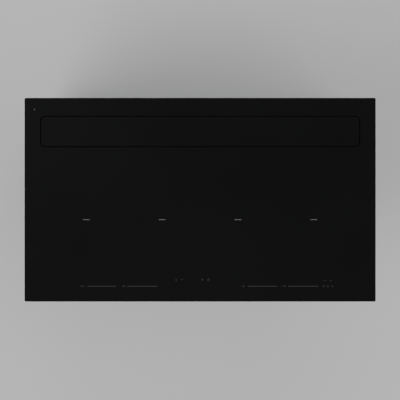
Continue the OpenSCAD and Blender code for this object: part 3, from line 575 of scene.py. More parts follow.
class Finish:
    """A Principled material with short calls for the textures that drive it.

    A texture's scale is in repeats per metre, and a depth is in millimetres.
    """

    def __init__(self, name):
        self.material = bpy.data.materials.new(name)
        self.material.use_nodes = True
        tree = self.material.node_tree
        self.nodes, self.links = tree.nodes, tree.links
        self.shader = self.nodes["Principled BSDF"]
        self.place = self.nodes.new("ShaderNodeTexCoord").outputs["Object"]

    def base(self, colour, roughness, metallic=0.0, **sockets):
        """Sets the plain values, which a texture may then drive."""
        self.material.diffuse_color = (*colour, 1)
        sockets |= {"Base Color": (*colour, 1), "Roughness": roughness, "Metallic": metallic}
        for key, value in sockets.items():
            self.shader.inputs[key.replace("_", " ")].default_value = value

    def texture(self, kind, along=None, **values):
        node = self.nodes.new("ShaderNodeTex" + kind)
        for key, value in values.items():
            node.inputs[key].default_value = value
        self.links.new(along or self.place, node.inputs["Vector"])
        return node

    def noise(self, scale, detail, along=None):
        return self.texture("Noise", along, Scale=scale, Detail=detail).outputs["Fac"]

    def brushed(self, times):
        """Lines that run along X: a noise that is so many times finer across them."""
        node = self.nodes.new("ShaderNodeMapping")
        node.inputs["Scale"].default_value = (1, times, times)
        self.links.new(self.place, node.inputs["Vector"])
        return self.noise(30, 4, node.outputs["Vector"])

    def cells(self, scale, output="Distance", feature="F1"):
        node = self.texture("Voronoi", Scale=scale)
        node.feature = feature
        return node.outputs[output]

    def spread(self, value, low, high, start=NOISE_LOW, end=NOISE_HIGH):
        """The value's part from start to end, spread out from low to high."""
        node = self.nodes.new("ShaderNodeMapRange")
        for key, number in zip(("From Min", "From Max", "To Min", "To Max"), (start, end, low, high)):
            node.inputs[key].default_value = number
        self.links.new(value, node.inputs["Value"])
        return node.outputs["Result"]

    def colour(self, amount, first, second, start=NOISE_LOW, end=NOISE_HIGH):
        """Drives the colour from the first to the second."""
        node = self.nodes.new("ShaderNodeMix")
        node.data_type = "RGBA"
        # the colour sockets of a Mix node share their names with its number sockets
        node.inputs[6].default_value = (*first, 1)
        node.inputs[7].default_value = (*second, 1)
        self.links.new(self.spread(amount, 0, 1, start, end), node.inputs["Factor"])
        self.links.new(node.outputs[2], self.shader.inputs["Base Color"])

    def roughness(self, amount, low, high):
        self.links.new(self.spread(amount, low, high), self.shader.inputs["Roughness"])

    def bump(self, height, depth, strength):
        node = self.nodes.new("ShaderNodeBump")
        node.inputs["Strength"].default_value = strength
        node.inputs["Distance"].default_value = depth * MM
        self.links.new(height, node.inputs["Height"])
        self.links.new(node.outputs["Normal"], self.shader.inputs["Normal"])

    def tone(self, scale, detail, first, second):
        """Clouds of colour."""
        self.colour(self.noise(scale, detail), first, second)

    def polish(self, scale, detail, low, high):
        """Clouds of roughness."""
        self.roughness(self.noise(scale, detail), low, high)

    def grain(self, scale, detail, depth, strength):
        """A fine uneven surface."""
        self.bump(self.noise(scale, detail), depth, strength)


def black_glass(f):
    tint = bpy.context.scene.cooktop_glass.glass_colour
    f.base(tint, 0.06, IOR=1.5)
    f.polish(9, 5, 0.045, 0.085)
    f.tone(2.2, 2, [c * 0.8 for c in tint], [c * 1.25 for c in tint])


def ground_glass(f):
    f.base((0.003, 0.003, 0.0033), 0.3, Specular_IOR_Level=0.12)
    f.polish(900, 2, 0.24, 0.38)


def zone_enamel(f, tint=None):
    tint = tint or bpy.context.scene.cooktop_print.zone_colour
    f.base(tint, 0.45)
    f.tone(2500, 2, [c * 0.88 for c in tint], [c * 1.1 for c in tint])
    f.grain(4000, 1, 0.01, 0.4)


def slider_enamel(f):
    zone_enamel(f, bpy.context.scene.cooktop_print.slider_colour)


def seal_rubber(f):
    f.base((0.012, 0.012, 0.013), 0.75)
    f.tone(60, 3, (0.008, 0.008, 0.009), (0.02, 0.02, 0.022))
    f.grain(1800, 3, 0.08, 0.5)


def zinc_steel(f):
    f.base((0.6, 0.62, 0.64), 0.38, metallic=1.0)
    spangle = f.cells(150, "Color")
    f.colour(spangle, (0.54, 0.56, 0.585), (0.65, 0.67, 0.69), 0.1, 0.9)
    f.polish(160, 4, 0.33, 0.45)
    f.grain(700, 3, 0.02, 0.35)


def stainless(f):
    f.base((0.58, 0.58, 0.59), 0.27, metallic=1.0)
    lines = f.brushed(60)
    f.roughness(lines, 0.27, 0.31)
    f.colour(lines, (0.57, 0.57, 0.58), (0.59, 0.59, 0.60))
    f.bump(lines, 0.001, 0.05)


def aluminium(f):
    f.base((0.72, 0.73, 0.75), 0.34, metallic=1.0)
    lines = f.brushed(50)
    f.roughness(lines, 0.31, 0.4)
    f.tone(8, 3, (0.68, 0.69, 0.71), (0.75, 0.76, 0.78))
    f.bump(lines, 0.001, 0.05)


def dark_plastic(f):
    f.base((0.045, 0.046, 0.049), 0.48)
    f.tone(30, 3, (0.039, 0.040, 0.043), (0.053, 0.054, 0.058))
    f.polish(120, 3, 0.42, 0.56)
    f.bump(f.cells(1500), 0.05, 0.35)


def wheel_plastic(f):
    f.base((0.06, 0.062, 0.068), 0.45)
    f.tone(80, 3, (0.05, 0.052, 0.058), (0.075, 0.077, 0.083))
    f.grain(1400, 2, 0.03, 0.4)


def post_plastic(f):
    f.base((0.74, 0.73, 0.68), 0.42, Subsurface_Weight=0.05)
    f.tone(90, 3, (0.69, 0.68, 0.62), (0.78, 0.77, 0.72))
    f.grain(900, 2, 0.03, 0.3)


def flap_plastic(f):
    f.base((0.11, 0.115, 0.12), 0.48)
    f.tone(40, 3, (0.09, 0.094, 0.1), (0.13, 0.135, 0.14))
    f.bump(f.cells(1300), 0.05, 0.3)


def mica(f):
    f.base((0.6, 0.52, 0.36), 0.35)
    flakes = f.cells(160, "Color")
    f.colour(flakes, (0.5, 0.42, 0.27), (0.7, 0.63, 0.47), 0.1, 0.9)
    f.polish(300, 3, 0.2, 0.5)


def copper_wire(f):
    f.base((0.55, 0.24, 0.12), 0.33, metallic=1.0)
    strands = f.texture("Wave", Scale=120, Distortion=1.5).outputs["Fac"]
    f.colour(strands, (0.34, 0.12, 0.05), (0.66, 0.31, 0.16), 0.1, 0.9)
    f.bump(strands, 0.4, 0.8)


def ferrite(f):
    f.base((0.05, 0.05, 0.053), 0.7)
    f.tone(350, 4, (0.035, 0.035, 0.038), (0.07, 0.07, 0.074))
    f.grain(800, 4, 0.08, 0.6)


def ceramic_white(f):
    f.base((0.82, 0.81, 0.76), 0.3)
    f.tone(200, 3, (0.78, 0.77, 0.71), (0.86, 0.85, 0.81))
    f.grain(600, 2, 0.03, 0.3)


def board_green(f):
    f.base((0.02, 0.11, 0.05), 0.3)
    tracks = f.cells(130, feature="DISTANCE_TO_EDGE")
    f.colour(tracks, (0.045, 0.2, 0.09), (0.012, 0.085, 0.04), 0.02, 0.06)
    f.bump(tracks, 0.03, 0.5)


def parts_blue(f):
    f.base((0.04, 0.055, 0.14), 0.25)
    f.tone(70, 2, (0.03, 0.04, 0.11), (0.05, 0.07, 0.17))
    f.polish(150, 3, 0.18, 0.34)


def bright_steel(f):
    f.base((0.7, 0.71, 0.73), 0.2, metallic=1.0)
    f.polish(300, 3, 0.14, 0.3)
    f.tone(120, 3, (0.62, 0.63, 0.66), (0.76, 0.76, 0.78))
    f.grain(900, 2, 0.01, 0.4)


def clamp_steel(f):
    f.base((0.45, 0.46, 0.48), 0.36, metallic=1.0)
    f.polish(110, 4, 0.28, 0.48)
    f.tone(60, 4, (0.38, 0.39, 0.41), (0.52, 0.53, 0.54))
    f.grain(900, 3, 0.03, 0.4)


def motor_paint(f):
    f.base((0.05, 0.052, 0.056), 0.4)
    f.tone(50, 3, (0.042, 0.044, 0.048), (0.06, 0.062, 0.066))
    f.grain(700, 2, 0.06, 0.35)


def gear_brass(f):
    f.base((0.62, 0.45, 0.19), 0.28, metallic=1.0)
    f.polish(260, 4, 0.2, 0.4)
    f.tone(110, 4, (0.54, 0.38, 0.15), (0.68, 0.5, 0.23))
    f.grain(1200, 2, 0.02, 0.4)


def light_lens(f):
    f.base((0.88, 0.87, 0.82), 0.4, Subsurface_Weight=0.15)
    f.tone(40, 2, (0.85, 0.84, 0.78), (0.92, 0.91, 0.87))
    f.grain(1600, 2, 0.04, 0.3)


FINISHES = (
    black_glass, ground_glass, zone_enamel, slider_enamel, seal_rubber, zinc_steel, stainless,
    aluminium, dark_plastic, wheel_plastic, post_plastic, flap_plastic, mica, copper_wire, ferrite,
    ceramic_white, board_green, parts_blue, bright_steel, clamp_steel, motor_paint, gear_brass,
    light_lens,
)
SHADERS = {shade.__name__: shade for shade in FINISHES}
finishes = {}


def finish_for(name):
    """The finish of that name, made once. A material slot's finish has the slot's name."""
    if name not in finishes:
        finish = Finish(name)
        SHADERS[name](finish)
        finishes[name] = finish.material
    return finishes[name]


def dress(obj, slot, *replaced, body="casing", finish=None):
    """Gives a finished piece the material of its finish, or else of its slot's name, puts it on its body
    and hides the nodes it stands for.
    """
    obj.data.materials.clear()
    obj.data.materials.append(finish_for(finish or slot))
    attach(obj, body)
    if replaced:
        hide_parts(*replaced)


# ------------------------------------------------------------------ operators


def node_slots():
    return {row["node"]: row["material_slot"] for row in frame["record"]["subparts"]}


def node_body(node):
    for body, members in frame["record"]["behaviour"]["bodies"].items():
        if node in members:
            return body
    raise RuntimeError("no body holds " + node)


class COOKTOP_OT_finish_frame(bpy.types.Operator):
    """Give every construction piece the finish of its material slot"""

    bl_idname = "cooktop.finish_frame"
    bl_label = "Finish Construction Pieces"

    def execute(self, context):
        for node, slot in node_slots().items():
            mesh = frame["nodes"][node].data
            mesh.materials.clear()
            mesh.materials.append(finish_for(slot))
        return {"FINISHED"}


def pane(name, low, high, corner):
    """A glass pane with round corners, just thinner than its solid by the prints on it."""
    return round_corners(block(name, low, (high.x, high.y, GLASS_TOP)), corner)


def grind(obj, width, body, replaced):
    """Grinds the pane's edges and finishes faces and edges."""
    soften(obj, width, angle=40)
    dress(obj, "black_glass", replaced, body=body)
    obj.data.materials.append(finish_for("ground_glass"))
    for face in obj.data.polygons:
        if abs(face.normal.z) < UPRIGHT:
            face.material_index = 1


class COOKTOP_OT_glass_plate(bpy.types.Operator):
    """Model the main glass plate with its opening for the cover"""

    bl_idname = "cooktop.glass_plate"
    bl_label = "Glass Plate"

    def execute(self, context):
        size = context.scene.cooktop_glass
        plate = pane("glass_pane", GLASS_LOW, GLASS_HIGH, size.plate_corner)
        through = 2 * MM
        gap = Vector((size.cover_gap, size.cover_gap, through))
        opening = block("opening", COVER_LOW - gap, COVER_HIGH + gap)
        round_corners(opening, size.cover_corner + size.cover_gap)
        cut(plate, opening)
        grind(plate, size.ground_edge, "casing", "glass_plate")
        return {"FINISHED"}


class COOKTOP_OT_cover_glass(bpy.types.Operator):
    """Model the cover glass that rises with the tower"""

    bl_idname = "cooktop.cover_glass"
    bl_label = "Cover Glass"

    def execute(self, context):
        size = context.scene.cooktop_glass
        cover = pane("cover_pane", COVER_LOW, COVER_HIGH, size.cover_corner)
        grind(cover, size.ground_edge, "tower", "cover_glass")
        return {"FINISHED"}


# Marks are thin prints on the glass. Each is drawn flat and then given its thickness.


def raise_print(obj, corner=0.0):
    """Rounds a flat print's corners and gives it the enamel's thickness."""
    if corner:
        edit(obj)
        bpy.ops.mesh.bevel(offset=corner, segments=4, affect="VERTICES")
        close(obj)
    edit(obj, "FACE")
    bpy.ops.mesh.extrude_region_move(TRANSFORM_OT_translate={"value": (0, 0, PRINT_THICKNESS)})
    turn_outwards()
    return close(obj)


def print_bar(x0, y0, x1, y1, width):
    """A straight stroke between two points."""
    start, end = Vector((x0, y0, 0)), Vector((x1, y1, 0))
    run = end - start
    bpy.ops.mesh.primitive_plane_add(size=1, location=(start + end) / 2 + Vector((0, 0, GLASS_TOP)))
    obj = bpy.context.active_object
    obj.scale = (run.length + width, width, 1)
    obj.rotation_euler = (0, 0, math.atan2(run.y, run.x))
    return raise_print(settle(obj), width * EDGE_SHARE)


def print_disc(x, y, radius, sides=24):
    """A round field, still flat."""
    bpy.ops.mesh.primitive_circle_add(
        vertices=sides, radius=radius, fill_type="NGON", location=(x, y, GLASS_TOP)
    )
    return settle(bpy.context.active_object)


def print_ring(x, y, radius, width, gap_at=None, gap=0.0):
    """A ring, left open over the angle `gap` about the direction `gap_at`, in degrees."""
    obj = print_disc(x, y, radius, sides=36)
    edit(obj, "FACE")
    bpy.ops.mesh.inset(thickness=width)
    bpy.ops.mesh.delete(type="FACE")
    if gap_at is not None:
        def in_gap(face):
            centre = face.calc_center_median()
            angle = math.degrees(math.atan2(centre.y - y, centre.x - x))
            return abs((angle - gap_at + 180) % 360 - 180) < gap / 2
        choose(obj, "faces", in_gap)
        bpy.ops.mesh.delete(type="FACE")
    return raise_print(close(obj))


ZONES = 4


class COOKTOP_OT_zone_marks(bpy.types.Operator):
    """Print the short mark in the middle of each cooking zone"""

    bl_idname = "cooktop.zone_marks"
    bl_label = "Zone Marks"

    def execute(self, context):
        size = context.scene.cooktop_print
        y = FRONT_EDGE + size.zone_from_front
        half = (size.zone_mark_length - size.zone_mark_width) / 2
        marks = []
        for zone in range(ZONES):
            x = (zone - (ZONES - 1) / 2) * size.zone_pitch
            marks.append(print_bar(x - half, y, x + half, y, size.zone_mark_width))
        dress(join("zone_marks", marks), "black_glass", finish="zone_enamel")
        return {"FINISHED"}


# Left and right end of each slider's line, in millimetres
SLIDER_SPANS = ((-289, -215), (-187, -109), (122, 197), (226, 302))
# Middle of the small row of squares that says which zone a slider sets, in millimetres
LOCATOR_MIDDLES = (-299.8, -195.2, 109.6, 213.0)
LOCATOR_PITCH = 2.8
# Reach up and down, and width, of the square of the slider's own zone and of the other squares
OWN_SQUARE, OTHER_SQUARE = (0.9 * MM, 2.4 * MM), (0, 1.6 * MM)


class COOKTOP_OT_slider_marks(bpy.types.Operator):
    """Print the four sliders and the zone locators beside them"""

    bl_idname = "cooktop.slider_marks"
    bl_label = "Slider Marks"

    def execute(self, context):
        size = context.scene.cooktop_print
        y = FRONT_EDGE + size.slider_from_front
        half = size.slider_width / 2
        marks = [
            print_bar(left * MM + half, y, right * MM - half, y, size.slider_width)
            for left, right in SLIDER_SPANS
        ]
        for zone, middle in enumerate(LOCATOR_MIDDLES):
            for place in range(ZONES):
                x = (middle + (place - (ZONES - 1) / 2) * LOCATOR_PITCH) * MM
                reach, width = OWN_SQUARE if place == zone else OTHER_SQUARE
                marks.append(print_bar(x, y - reach, x, y + reach, width))
        dress(join("slider_marks", marks), "black_glass", finish="slider_enamel")
        return {"FINISHED"}


# Strokes of each icon, in millimetres about its middle. A bar has its two ends and its width as a
# multiple of the plain stroke; a ring has its middle, radius and width, and the direction and the
# angle of its gap in degrees.
BAR_ARROW = (("bar", 0, -1.4, 0, 2.6, 1.3), ("bar", -1.5, 1.2, 0, 2.6, 1), ("bar", 1.5, 1.2, 0, 2.6, 1),
             ("bar", -2, -2.9, 2, -2.9, 1))
MINUS = (("bar", -2, 0, 2, 0, 1.5),)
PLUS = MINUS + (("bar", 0, -1.8, 0, 1.8, 1.5),)
CLOCK = (("ring", 0, 0, 2.9, 1), ("bar", 0, 0, 0, 1.5, 0.8), ("bar", 0, 0, 1.2, 0, 0.8))
PAUSE = (("bar", -1.1, -1.6, -1.1, 1.6, 1.5), ("bar", 1.1, -1.6, 1.1, 1.6, 1.5))
POWER = (("ring", 0, -0.3, 2.3, 1, 90, 70), ("bar", 0, 0.2, 0, 2.5, 1))
LOCK = (("bar", -1.2, -1.3, 1.2, -1.3, 2.2), ("ring", 0, 0.3, 1.7, 1, -90, 180))
CHEVRONS = (("bar", -1.7, -1.9, 0, -0.4, 1.2), ("bar", 1.7, -1.9, 0, -0.4, 1.2),
            ("bar", -1.7, 0.2, 0, 1.7, 1.2), ("bar", 1.7, 0.2, 0, 1.7, 1.2))
# Each icon of the touch panel, with its middle in millimetres
ICONS = (
    (BAR_ARROW, -61.3, -204.8), (MINUS, -46.4, -204.3), (PAUSE, 5.3, -204.6), (CLOCK, 21.4, -204.9),
    (MINUS, 320.5, -206.5), (PLUS, 334.5, -206.9),
    (POWER, 317.3, -220.9), (LOCK, 327.8, -221.0), (CHEVRONS, 339.1, -221.2),
)
# Middle and radius of the round spot in the corner, in millimetres
CORNER_SPOT = (-424.6, 231.3, 1.5)


def print_icon(strokes, x, y, width):
    """The printed strokes of one icon about the point x, y, in millimetres."""
    pieces = []
    for kind, *numbers in strokes:
        if kind == "bar":
            x0, y0, x1, y1, share = numbers
            ends = ((x + x0) * MM, (y + y0) * MM, (x + x1) * MM, (y + y1) * MM)
            pieces.append(print_bar(*ends, width * share))
        else:
            ring_x, ring_y, radius, share, *gap = numbers
            pieces.append(
                print_ring((x + ring_x) * MM, (y + ring_y) * MM, radius * MM, width * share, *gap)
            )
    return pieces


class COOKTOP_OT_touch_icons(bpy.types.Operator):
    """Print the plain touch icons in the middle and at the right"""

    bl_idname = "cooktop.touch_icons"
    bl_label = "Touch Icons"

    def execute(self, context):
        width = context.scene.cooktop_print.stroke
        icons = [piece for icon in ICONS for piece in print_icon(*icon, width)]
        dress(join("touch_icons", icons), "black_glass", finish="slider_enamel")
        spot = raise_print(print_disc(*(number * MM for number in CORNER_SPOT)))
        dress(named(spot, "corner_spot"), "black_glass", finish="zone_enamel")
        return {"FINISHED"}


# Construction pieces whose edges are softened, folded ones first and then moulded ones
SOFT_SHEET = (
    "base_tray", "chassis_shell", "blower_box", "tower_shell", "grease_filter_left",
    "grease_filter_right", "drip_tray", "guide_rails", "lift_legs", "clamp_brackets",
    "cover_carrier",
)
SOFT_MOULDED = (
    "terminal_box", "cable_gland", "blower_control_box", "duct_collar", "lift_motor",
    "bearing_blocks", "guide_shoes", "flap_left", "flap_right",
    "clamp_arm_front_left", "clamp_arm_front_right", "clamp_arm_back_left", "clamp_arm_back_right",
    "light_strip", "cross_shaft", "worktop_gasket", "wiper_seal", "scroll_housing", "fan_frames",
    "blower_motor", "control_carrier", "heat_sinks", "coil_formers",
)


class COOKTOP_OT_soften_casings(bpy.types.Operator):
    """Round the sharp edges of the folded and moulded pieces"""

    bl_idname = "cooktop.soften_casings"
    bl_label = "Soften Casings"

    def execute(self, context):
        size = context.scene.cooktop_casing
        slots = node_slots()
        for group, width in ((SOFT_SHEET, size.fold_radius), (SOFT_MOULDED, size.moulded_radius)):
            for node in group:
                piece = soften(copy_node(node, node + "_soft"), width)
                dress(piece, slots[node], node, body=node_body(node))
        return {"FINISHED"}


def screw_on(name, kind, places, *replaced):
    """Sets a pan-head screw on each face and centre, all as one piece."""
    dress(strew(name, pan_screw(kind), places), "bright_steel", *replaced)


class COOKTOP_OT_flange_screws(bpy.types.Operator):
    """Model the pan-head screws that hold the blower box and the duct collar"""

    bl_idname = "cooktop.flange_screws"
    bl_label = "Flange Screws"

    def execute(self, context):
        places = []
        for low, high in islands("casing_screws"):
            middle, size = (low + high) / 2, high - low
            face, axis = ("-Z", 2) if size.z > size.y else ("-Y", 1)
            middle[axis] = low[axis] + PAN_SCREWS["flange"][1] * MM
            places.append((face, middle))
        screw_on("flange_screws", "flange", places, "casing_screws")
        return {"FINISHED"}


class COOKTOP_OT_clamp_bolts(bpy.types.Operator):
    """Model the threaded hexagon bolts of the four clamps"""

    bl_idname = "cooktop.clamp_bolts"
    bl_label = "Clamp Bolts"

    def execute(self, context):
        size = context.scene.cooktop_casing
        lap = 0.1 * MM
        pieces = []
        for low, high in islands("clamp_screws"):
            x, y = (low.x + high.x) / 2, (low.y + high.y) / 2
            under = low.z + size.bolt_head - lap
            pieces.append(threaded(
                "thread", (x, y, under), size.bolt_radius, high.z - under, size.thread_pitch,
            ))
            head = disc("head", (x, y, low.z), (high.x - low.x) / 2, size.bolt_head, sides=6)
            pieces.append(soften(head, size.fold_radius, angle=30))
        dress(join("clamp_bolts", pieces), "bright_steel", "clamp_screws")
        return {"FINISHED"}


def casing(name):
    """Low and high corner of the plain box of a casing, without its flanges."""
    low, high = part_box({"blower": "blower_box", "chassis": "chassis_shell", "tray": "base_tray"}[name])
    if name == "blower":
        high.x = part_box("blower_control_box")[0].x
        low.x = -high.x
    return low, high


def on_wall(corners, face, across=0.0, up=0.0, out=0.0):
    """A point on one wall of a casing, in millimetres across and up from the wall's middle.

    On an underside, up runs towards the back. The point may stand out from the wall.
    """
    low, high = corners
    axis = "XYZ".index(face[1])
    point = (low + high) / 2
    point[axis] = (high if face[0] == "+" else low)[axis]
    point[1 if face[1] == "X" else 0] += across * MM
    point[1 if face[1] == "Z" else 2] += up * MM
    return point + out * outward(face)


# Stiffening beads of each casing: the wall, the way they run, their length, and the middle of each
# one in millimetres across and up from the wall's middle
BEADS = {
    "blower": (
        ("-X", "level", 190, ((4, -98), (4, -33), (4, 33), (4, 98))),
        ("+X", "level", 190, ((4, -117), (4, -52), (4, 0))),
        ("-Z", "upright", 190, ((-145, 0), (-104, 0), (104, 0), (145, 0))),
    ),
    "chassis": (
        ("+Y", "level", 330, tuple((x, z) for x in (-205, 205) for z in (-145, -81, 48, 113))),
        ("-X", "upright", 190, ((6, 48),)),
        ("+X", "upright", 190, ((6, 48),)),
        ("-Y", "upright", 170, ((-379, 8), (-243, 8), (243, 8), (379, 8))),
        ("-Z", "level", 720, ((0, -8), (0, 22))),
    ),
    "tray": (
        ("-Z", "level", 185, tuple((x, y) for x in (-310, 310) for y in (-92, -47, -2, 43))),
        ("-Y", "level", 330, ((-208, 0), (208, 0))),
        ("-X", "level", 130, ((13, 0),)),
        ("+X", "level", 130, ((13, 0),)),
    ),
}


class COOKTOP_OT_stiffening_beads(bpy.types.Operator):
    """Press stiffening beads into the walls of the sheet casings"""

    bl_idname = "cooktop.stiffening_beads"
    bl_label = "Stiffening Beads"

    def execute(self, context):
        size = context.scene.cooktop_casing
        width, rise = size.bead_width, size.bead_height
        for name, rows in BEADS.items():
            beads = []
            for face, way, run, places in rows:
                field = (run * MM, width) if way == "level" else (width, run * MM)
                for place in places:
                    middle = on_wall(casing(name), face, *place)
                    beads.append(raised("bead", face, middle, *field, width / 2, rise, rise))
            dress(join(name + "_beads", beads), "zinc_steel")
        return {"FINISHED"}


# Lapped seams of each casing: their width, the number of rivets in each, and the wall and the place
# across it of each seam, in millimetres
SEAMS = {
    "blower": (17, 7, (("-X", -122), ("+X", -122))),
    "chassis": (18, 8, (("+Y", -410), ("+Y", 410))),
}
# Corner radius of a seam, as a share of its sheet's thickness
SEAM_CORNER = 1.5


class COOKTOP_OT_riveted_seams(bpy.types.Operator):
    """Lap the corner seams of the sheet casings and rivet them"""

    bl_idname = "cooktop.riveted_seams"
    bl_label = "Riveted Seams"

    def execute(self, context):
        size = context.scene.cooktop_casing
        lap = size.seam_thickness
        edges = (SEAM_CORNER * lap, lap, RIM_SLOPE * lap)
        for name, (width, count, rows) in SEAMS.items():
            low, high = corners = casing(name)
            tall = high.z - low.z - size.seam_end_gap
            seams, rivets = [], []
            for face, across in rows:
                middle = on_wall(corners, face, across)
                seams.append(raised("seam", face, middle, width * MM, tall, *edges))
                for n in range(count):
                    step = Vector((0, 0, (n / (count - 1) - 0.5) * tall * size.rivet_span))
                    rivets.append((face, on_wall(corners, face, across, out=lap) + step))
            dress(join(name + "_seams", seams), "zinc_steel")
            rivet = dome("rivet", size.rivet_radius, size.rivet_rise)
            dress(strew(name + "_rivets", rivet, rivets), "bright_steel")
        return {"FINISHED"}


# Corner radius of the service cover and of the field pressed into it, and the field's rise and slope
COVER_CORNER, FIELD_CORNER, FIELD_RISE, FIELD_SLOPE = 14 * MM, 12 * MM, 1.4 * MM, 3 * MM


class COOKTOP_OT_service_cover(bpy.types.Operator):
    """Model the screwed service cover on the front of the blower box"""

    bl_idname = "cooktop.service_cover"
    bl_label = "Service Cover"

    def execute(self, context):
        size = context.scene.cooktop_casing
        sheet, rim = size.cover_thickness, size.cover_rim
        width, height = size.cover_width, size.cover_height
        middle = on_wall(casing("blower"), "-Y")
        face = middle + sheet * outward("-Y")
        plate = raised("plate", "-Y", middle, width, height, COVER_CORNER, sheet, RIM_SLOPE * sheet)
        field = raised(
            "field", "-Y", face, width - 2 * rim, height - 2 * rim, FIELD_CORNER, FIELD_RISE, FIELD_SLOPE
        )
        dress(join("service_cover", [plate, field]), "zinc_steel")
        across, up = (width - rim) / 2, (height - rim) / 2
        places = [
            ("-Y", face + Vector((x * across, 0, z * up)))
            for x in (-1, 0, 1) for z in (-1, 0, 1) if (x, z) != (0, 0)
        ]
        screw_on("cover_screws", "cover", places)
        return {"FINISHED"}


# Places of the drive's screws: up and down from a bearing block's middle, in from the gearbox's
# sides and ends, and up a guide rail as shares of its length
BLOCK_SCREW, GEARBOX_SIDE, GEARBOX_END = 7 * MM, 8 * MM, 6 * MM
RAIL_SCREWS = (0.08, 0.5, 0.92)


class COOKTOP_OT_drive_screws(bpy.types.Operator):
    """Model the screws that hold the lift drive and the guide rails to the chassis"""

    bl_idname = "cooktop.drive_screws"
    bl_label = "Drive Screws"

    def execute(self, context):
        low, high = casing("chassis")
        places = []
        for block_low, block_high in islands("bearing_blocks"):
            middle = (block_low + block_high) / 2
            places += [("+Y", (middle.x, high.y, middle.z + z)) for z in (-BLOCK_SCREW, BLOCK_SCREW)]
        gear_low, gear_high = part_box("lift_gearbox")
        places += [
            ("+Y", (x, high.y, z))
            for x in (gear_low.x + GEARBOX_SIDE, gear_high.x - GEARBOX_SIDE)
            for z in (gear_low.z + GEARBOX_END, gear_high.z - GEARBOX_END)
        ]
        for rail_low, rail_high in islands("guide_rails"):
            face, x = ("-X", low.x) if rail_low.x < 0 else ("+X", high.x)
            y, tall = (rail_low.y + rail_high.y) / 2, rail_high.z - rail_low.z
            places += [(face, (x, y, rail_low.z + share * tall)) for share in RAIL_SCREWS]
        screw_on("drive_screws", "drive", places)
        return {"FINISHED"}


# How far the terminal box's lid stands back from its edges, its corner radius and the radius of its
# hole for the gland, then the places of its screws in millimetres across and up
LID_INSET, LID_CORNER, LID_HOLE = 1.5 * MM, 5 * MM, 15 * MM
LID_SCREWS = [(x, y) for x in (-34, 34) for y in (-24, 24)]


class COOKTOP_OT_terminal_lid(bpy.types.Operator):
    """Model the screwed lid under the terminal box, with its hole for the cable gland"""

    bl_idname = "cooktop.terminal_lid"
    bl_label = "Terminal Lid"

    def execute(self, context):
        sheet = context.scene.cooktop_casing.cover_thickness
        low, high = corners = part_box("terminal_box")
        width, depth = high.x - low.x - 2 * LID_INSET, high.y - low.y - 2 * LID_INSET
        lid = raised(
            "terminal_lid", "-Z", on_wall(corners, "-Z"), width, depth, LID_CORNER, sheet,
            RIM_SLOPE * sheet,
        )
        gland_low, gland_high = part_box("cable_gland")
        hole, through = (gland_low + gland_high) / 2, 10 * MM
        cut(lid, disc("hole", (hole.x, hole.y, low.z - through / 2), LID_HOLE, through, sides=48))
        dress(lid, "zinc_steel")
        places = [("-Z", on_wall(corners, "-Z", *place, out=sheet)) for place in LID_SCREWS]
        screw_on("lid_screws", "box", places)
        return {"FINISHED"}


# Length, width, corner radius, rise and slope of a rib on the blower's control box, then the places
# of the box's screws in millimetres across and up
RIB_SIZES = (78 * MM, 3.2 * MM, 1.5 * MM, 1.2 * MM, 0.6 * MM)
BOX_SCREWS = [(y, z) for y in (-51, 51) for z in (-37, 37)]


class COOKTOP_OT_driver_cover(bpy.types.Operator):
    """Model the cooling ribs and the screws on the blower's control box"""

    bl_idname = "cooktop.driver_cover"
    bl_label = "Control Box Ribs"

    def execute(self, context):
        size = context.scene.cooktop_casing
        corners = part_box("blower_control_box")
        ribs = []
        for n in range(size.rib_count):
            up = (n - (size.rib_count - 1) / 2) * size.rib_pitch / MM
            ribs.append(raised("rib", "+X", on_wall(corners, "+X", up=up), *RIB_SIZES))
        dress(join("driver_ribs", ribs), "dark_plastic")
        places = [("+X", on_wall(corners, "+X", *place)) for place in BOX_SCREWS]
        screw_on("driver_screws", "box", places)
        return {"FINISHED"}


# How far the floor lies under the cooktop
FLOOR_GAP = 0.5 * MM
# Directions from the cooktop to the darkest part of the ceiling and the brightest wall
CEILING_SIDE = (0.2, -0.12, 1)
KEY_SIDE = (-0.75, -0.5, 0.4)
# How much brighter the room gets from the far side to the key light's side
KEY_RISE = {"From Min": -0.5, "From Max": 1, "To Min": 0.75, "To Max": 1.25}
# Place in metres and power in watts of each lamp, then their width and what they aim at
LAMPS = {
    "key_lamp": ((-2.6, -1.8, 2.6), 115),
    "side_lamp": ((2.8, -0.6, 2.2), 62),
    "back_lamp": ((0.4, 3.0, 1.6), 50),
}
LAMP_WIDTH, LAMP_AIM = 3.2, (0, 0, -0.15)
# Where the camera stands over the glass, off its middle, and how far it sees in metres
CAMERA_X, CAMERA_Y, CAMERA_REACH = -0.24 * MM, -0.58 * MM, 50


